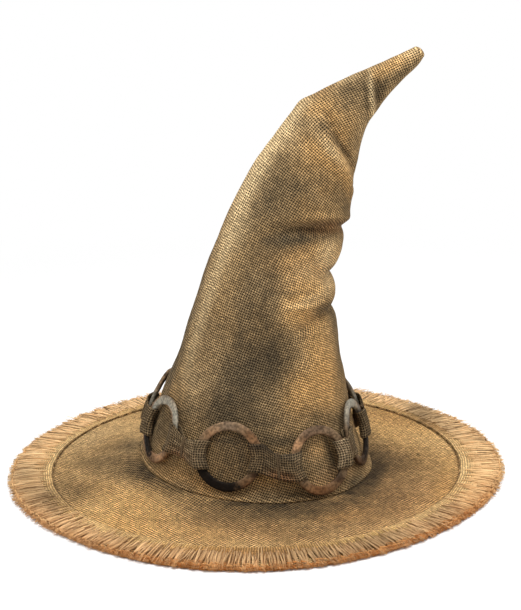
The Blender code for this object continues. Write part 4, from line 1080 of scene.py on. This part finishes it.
class Graph:
    """A material's nodes, added by short calls. Each call returns a socket that the next one can use."""

    def __init__(self, name):
        self.material = bpy.data.materials.new(name)
        self.material.use_nodes = True
        self.nodes = self.material.node_tree.nodes
        self.links = self.material.node_tree.links
        self.shader = self.nodes["Principled BSDF"]

    def feed(self, socket, source):
        if isinstance(source, bpy.types.NodeSocket):
            self.links.new(source, socket)
        elif isinstance(source, tuple) and socket.type == "RGBA":
            socket.default_value = (*source, 1)
        else:
            socket.default_value = source

    def add(self, kind, feeds, result=0, **settings):
        node = self.nodes.new(kind)
        for name, value in settings.items():
            setattr(node, name, value)
        for name, source in feeds.items():
            self.feed(node.inputs[name], source)
        return node.outputs[result]

    def math(self, operation, *sources):
        return self.add("ShaderNodeMath", dict(enumerate(sources)), operation=operation)

    def noise(self, place, scale, detail=2.0, result="Fac"):
        feeds = {"Vector": place, "Scale": scale, "Detail": detail}
        return self.add("ShaderNodeTexNoise", feeds, result)

    def step(self, value, low, high, to_low=0.0, to_high=1.0):
        feeds = {"Value": value, "From Min": low, "From Max": high, "To Min": to_low, "To Max": to_high}
        return self.add("ShaderNodeMapRange", feeds, interpolation_type="SMOOTHSTEP")

    def mix(self, share, first, second, blend="MIX"):
        node = self.nodes.new("ShaderNodeMix")
        node.data_type = "RGBA"
        node.blend_type = blend
        for name, source in (("Factor_Float", share), ("A_Color", first), ("B_Color", second)):
            socket = next(found for found in node.inputs if found.identifier == name)
            self.feed(socket, source)
        return next(found for found in node.outputs if found.identifier == "Result_Color")

    def split(self, vector):
        node = self.nodes.new("ShaderNodeSeparateXYZ")
        self.feed(node.inputs[0], vector)
        return node.outputs

    def join(self, x, y, z):
        return self.add("ShaderNodeCombineXYZ", {0: x, 1: y, 2: z})

    def times(self, first, second):
        return self.math("MULTIPLY", first, second)

    def around(self, base, chance, amount):
        """A number that chance moves up and down from its base."""
        return self.math("MULTIPLY_ADD", self.math("SUBTRACT", chance, 0.5), amount, base)

    def scaled(self, colour, amount):
        """A colour times a number."""
        return self.mix(1.0, colour, self.join(amount, amount, amount), "MULTIPLY")

    def stains(self):
        """Sockets with the shares of dirt and painted shade, of gold and painted light, of rust, and of pale
        and painted light.
        """
        node = self.nodes.new("ShaderNodeAttribute")
        node.attribute_name = "stain"
        return (*self.split(node.outputs["Vector"]), node.outputs["Alpha"])

    def bump(self, height, strength, distance):
        feeds = {"Height": height, "Strength": strength, "Distance": distance}
        self.feed(self.shader.inputs["Normal"], self.add("ShaderNodeBump", feeds))

    def finish(self, colour, roughness, specular):
        self.feed(self.shader.inputs["Base Color"], colour)
        self.feed(self.shader.inputs["Roughness"], roughness)
        self.shader.inputs["Specular IOR Level"].default_value = specular
        return self.material


def burlap(name, palette, pitch=PITCH, hole_shade=0.1, thread_shade=1.14):
    """Plain-woven jute: crossing threads of uneven thickness and tone, with dark pinholes between them."""
    graph = Graph(name)
    cloth = graph.add("ShaderNodeUVMap", {}, uv_map="weave")
    place = graph.add("ShaderNodeTexCoord", {}, "Object")
    wander = graph.noise(place, 1 / WANDER_SIZE, 1, "Color")
    jitter = graph.noise(place, 1 / JITTER_SIZE, 1, "Color")
    u, v, _ = graph.split(cloth)
    wander_u, wander_v, _ = graph.split(wander)
    jitter_u, jitter_v, _ = graph.split(jitter)
    threads = []
    for spot, slow, fast in ((u, wander_u, jitter_u), (v, wander_v, jitter_v)):
        count = graph.math("DIVIDE", spot, pitch)
        threads.append(graph.around(graph.around(count, slow, WANDER), fast, JITTER))
    heights, tones = [], []
    for this, other, shift in ((threads[0], threads[1], 0.0), (threads[1], threads[0], SLUB_SHIFT)):
        number = graph.math("FLOOR", this)
        which = graph.math("MULTIPLY_ADD", number, SLUB_STEP, shift)
        spot = graph.join(which, graph.times(other, SLUB_SPEED), 0.0)
        chance = graph.noise(spot, 1.0, 1)
        tones.append(chance)
        wave = graph.math("ABSOLUTE", graph.math("SINE", graph.times(this, math.pi)))
        heights.append(graph.math("POWER", wave, graph.step(chance, 0.3, 0.7, 1.0, 2.6)))
    crossing = graph.times(graph.math("SINE", graph.times(threads[0], math.pi)),
                          graph.math("SINE", graph.times(threads[1], math.pi)))
    over_u = graph.times(heights[0], graph.math("MULTIPLY_ADD", crossing, OVER, 1 - OVER))
    over_v = graph.times(heights[1], graph.math("MULTIPLY_ADD", crossing, -OVER, 1 - OVER))
    height = graph.math("MAXIMUM", over_u, over_v)
    cell = graph.join(graph.math("FLOOR", threads[0]), graph.math("FLOOR", threads[1]), 0.0)
    speck = graph.add("ShaderNodeTexWhiteNoise", {"Vector": cell}, "Value")
    tone = graph.times(graph.math("ADD", tones[0], tones[1]), 0.5)
    mottled = graph.noise(place, MOTTLE_SCALE, 3)
    spotted = graph.noise(place, SPOT_SCALE, 3)
    dirt, gold, rust, pale = graph.stains()
    blotch = graph.around(dirt, spotted, SPOT_DIRT)
    colour = graph.mix(graph.step(mottled, 0.35, 0.7), palette.plain, palette.light)
    # Gold and pale also bring painted light, and dirt brings painted shade, from the stain tables.
    colour = graph.mix(gold, colour, palette.gold)
    colour = graph.mix(pale, colour, palette.pale)
    colour = graph.mix(rust, colour, palette.rust)
    colour = graph.mix(graph.math("MINIMUM", graph.math("MAXIMUM", blotch, 0.0), 1.0), colour, palette.dirt)
    # Painted shade on the weave: its height darkens the pinholes and hollows between threads and lightens
    # the thread tops.
    shade = graph.step(height, 0.28, 0.92, hole_shade, thread_shade)
    shade = graph.times(shade, graph.step(tone, 0.25, 0.75, 0.64, 1.37))
    shade = graph.times(shade, graph.math("MULTIPLY_ADD", speck, SPECK, SPECK_LEAST))
    graph.bump(height, 0.7, 0.8 * MM)
    return graph.finish(graph.scaled(colour, shade), 0.95, 0.15)


def strand_material(name, dark, light, rust):
    """Loose jute strands. The stain attribute holds their tone, dirt and painted shade, share of rust, and
    pale tone and painted light.
    """
    graph = Graph(name)
    place = graph.add("ShaderNodeTexCoord", {}, "Object")
    tone, dirt, red, pale = graph.stains()
    fine = graph.noise(place, 1 / (1.2 * MM), 2)
    tone = graph.around(tone, fine, 0.5)
    colour = graph.mix(graph.step(tone, 0.0, 1.0), dark, light)
    colour = graph.mix(pale, colour, PALE_AND_LIT_JUTE)
    colour = graph.mix(red, colour, rust)
    colour = graph.mix(graph.times(dirt, 0.75), colour, TRIM_PALETTE.dirt)
    graph.bump(fine, 0.4, 0.3 * MM)
    return graph.finish(colour, 0.85, 0.25)


def aged_metal(name):
    """Old brass, browned all over, with grey-green patina, copper-red, worn yellow patches that also serve
    as painted highlights, and black for dark oxide and painted shade.
    """
    graph = Graph(name)
    place = graph.add("ShaderNodeTexCoord", {}, "Object")
    broad, fine = graph.noise(place, PATCH_SCALE, 4), graph.noise(place, GRAIN_SCALE, 4)
    pits = graph.noise(place, PIT_SCALE, 2)
    dark, worn_and_lit, red, patina = graph.stains()
    colour = graph.mix(graph.step(broad, 0.4, 0.62), BRASS_BROWN, BRASS_DARK)
    colour = graph.mix(graph.times(patina, 0.9), colour, BRASS_PATINA)
    colour = graph.mix(graph.times(worn_and_lit, 0.9), colour, BRASS_WORN_AND_LIT)
    colour = graph.mix(graph.times(red, 0.8), colour, COPPER_RED)
    # Black where dark oxide and painted shade lie, on the rings' lower limbs.
    shadow = graph.around(dark, fine, 1.4)
    colour = graph.mix(graph.step(shadow, 0.15, 0.8), colour, OXIDE_AND_SHADE_BLACK)
    colour = graph.scaled(colour, graph.step(fine, 0.35, 0.65, 0.62, 1.4))
    graph.shader.inputs["Metallic"].default_value = 0.25
    rough = graph.step(fine, 0.3, 0.7, 0.42, 0.7)
    relief = graph.math("ADD", fine, graph.times(pits, 0.5))
    graph.bump(relief, 0.5, 0.6 * MM)
    return graph.finish(colour, rough, 0.1)


def make_floor():
    """A pale floor that takes the hat's shadow and turns plain white further out."""
    graph = Graph("floor")
    graph.finish((FLOOR_COLOUR, FLOOR_COLOUR, FLOOR_COLOUR), 0.9, 0.0)
    away = graph.add("ShaderNodeVectorMath", {0: graph.add("ShaderNodeTexCoord", {}, "Object")}, "Value",
                     operation="LENGTH")
    white = graph.add("ShaderNodeEmission", {"Color": (1.0, 1.0, 1.0), "Strength": 1.0})
    blend = graph.add("ShaderNodeMixShader", {0: graph.step(away, FLOOR_NEAR, FLOOR_FAR)})
    graph.links.new(graph.shader.outputs[0], blend.node.inputs[1])
    graph.links.new(white, blend.node.inputs[2])
    output = graph.nodes["Material Output"]
    graph.links.new(blend, output.inputs["Surface"])
    half = FLOOR_SIZE / 2
    mesh = bpy.data.meshes.new("floor")
    mesh.from_pydata([(-half, -half, FLOOR_DROP), (half, -half, FLOOR_DROP), (half, half, FLOOR_DROP),
                      (-half, half, FLOOR_DROP)], [], [(0, 1, 2, 3)])
    mesh.materials.append(graph.material)
    floor = bpy.data.objects.new("floor", mesh)
    bpy.context.scene.collection.objects.link(floor)


def light_scene():
    scene = bpy.context.scene
    scene.view_settings.view_transform = "Standard"
    world = bpy.data.worlds.new("studio")
    world.use_nodes = True
    nodes, links = world.node_tree.nodes, world.node_tree.links
    background = nodes["Background"]
    background.inputs["Color"].default_value = (1, 1, 1, 1)
    seen = nodes.new("ShaderNodeMapRange")
    links.new(nodes.new("ShaderNodeLightPath").outputs["Is Camera Ray"], seen.inputs["Value"])
    seen.inputs["To Min"].default_value = SKY_STRENGTH
    links.new(seen.outputs["Result"], background.inputs["Strength"])
    scene.world = world
    for lamp in LAMPS:
        data = bpy.data.lights.new(lamp.name, "AREA")
        data.size = lamp.size
        data.energy = lamp.power
        light = bpy.data.objects.new(lamp.name, data)
        light.location = (lamp.x, lamp.y, lamp.z)
        aim = LAMP_AIM - light.location
        light.rotation_euler = aim.to_track_quat("-Z", "Y").to_euler()
        scene.collection.objects.link(light)


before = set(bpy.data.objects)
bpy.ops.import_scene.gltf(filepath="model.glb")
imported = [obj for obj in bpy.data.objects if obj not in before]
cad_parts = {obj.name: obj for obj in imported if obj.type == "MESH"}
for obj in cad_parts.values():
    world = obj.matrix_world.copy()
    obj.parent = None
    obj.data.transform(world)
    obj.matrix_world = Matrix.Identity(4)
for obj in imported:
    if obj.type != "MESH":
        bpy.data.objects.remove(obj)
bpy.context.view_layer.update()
make_camera()
crown = make_crown(burlap("crown_burlap", CROWN_PALETTE, thread_shade=1.32))
brim = make_brim(burlap("brim_burlap", BRIM_PALETTE, BRIM_PITCH, thread_shade=1.32))
trim = make_trim(burlap("trim_burlap", TRIM_PALETTE, hole_shade=0.25))
frayed = strand_material("frayed_jute", *TRIM_STRANDS)
strands = [make_strands(layer, frayed) for layer in STRAND_LAYERS]
cut_jute = strand_material("cut_edge_jute", *EDGE_STRANDS)
make_edge_core(cut_jute)
make_edge_fibres(cut_jute)
ring_frames = [ring_frame(number) for number in range(1, RING_COUNT + 1)]
metal = aged_metal("aged_brass")
rings = [make_ring(number, ring, metal) for number, ring in enumerate(ring_frames, 1)]
link_material = burlap("link_burlap", LINK_PALETTE, LINK_PITCH)
thread_material = strand_material("belt_thread", *LINK_STRANDS)
for number in range(1, RING_COUNT + 1):
    following = number % RING_COUNT
    link, length = make_link(number, ring_frames[number - 1], ring_frames[following], link_material)
    wraps = make_wraps(number, ring_frames[number - 1], ring_frames[following], thread_material)
make_floor()
light_scene()
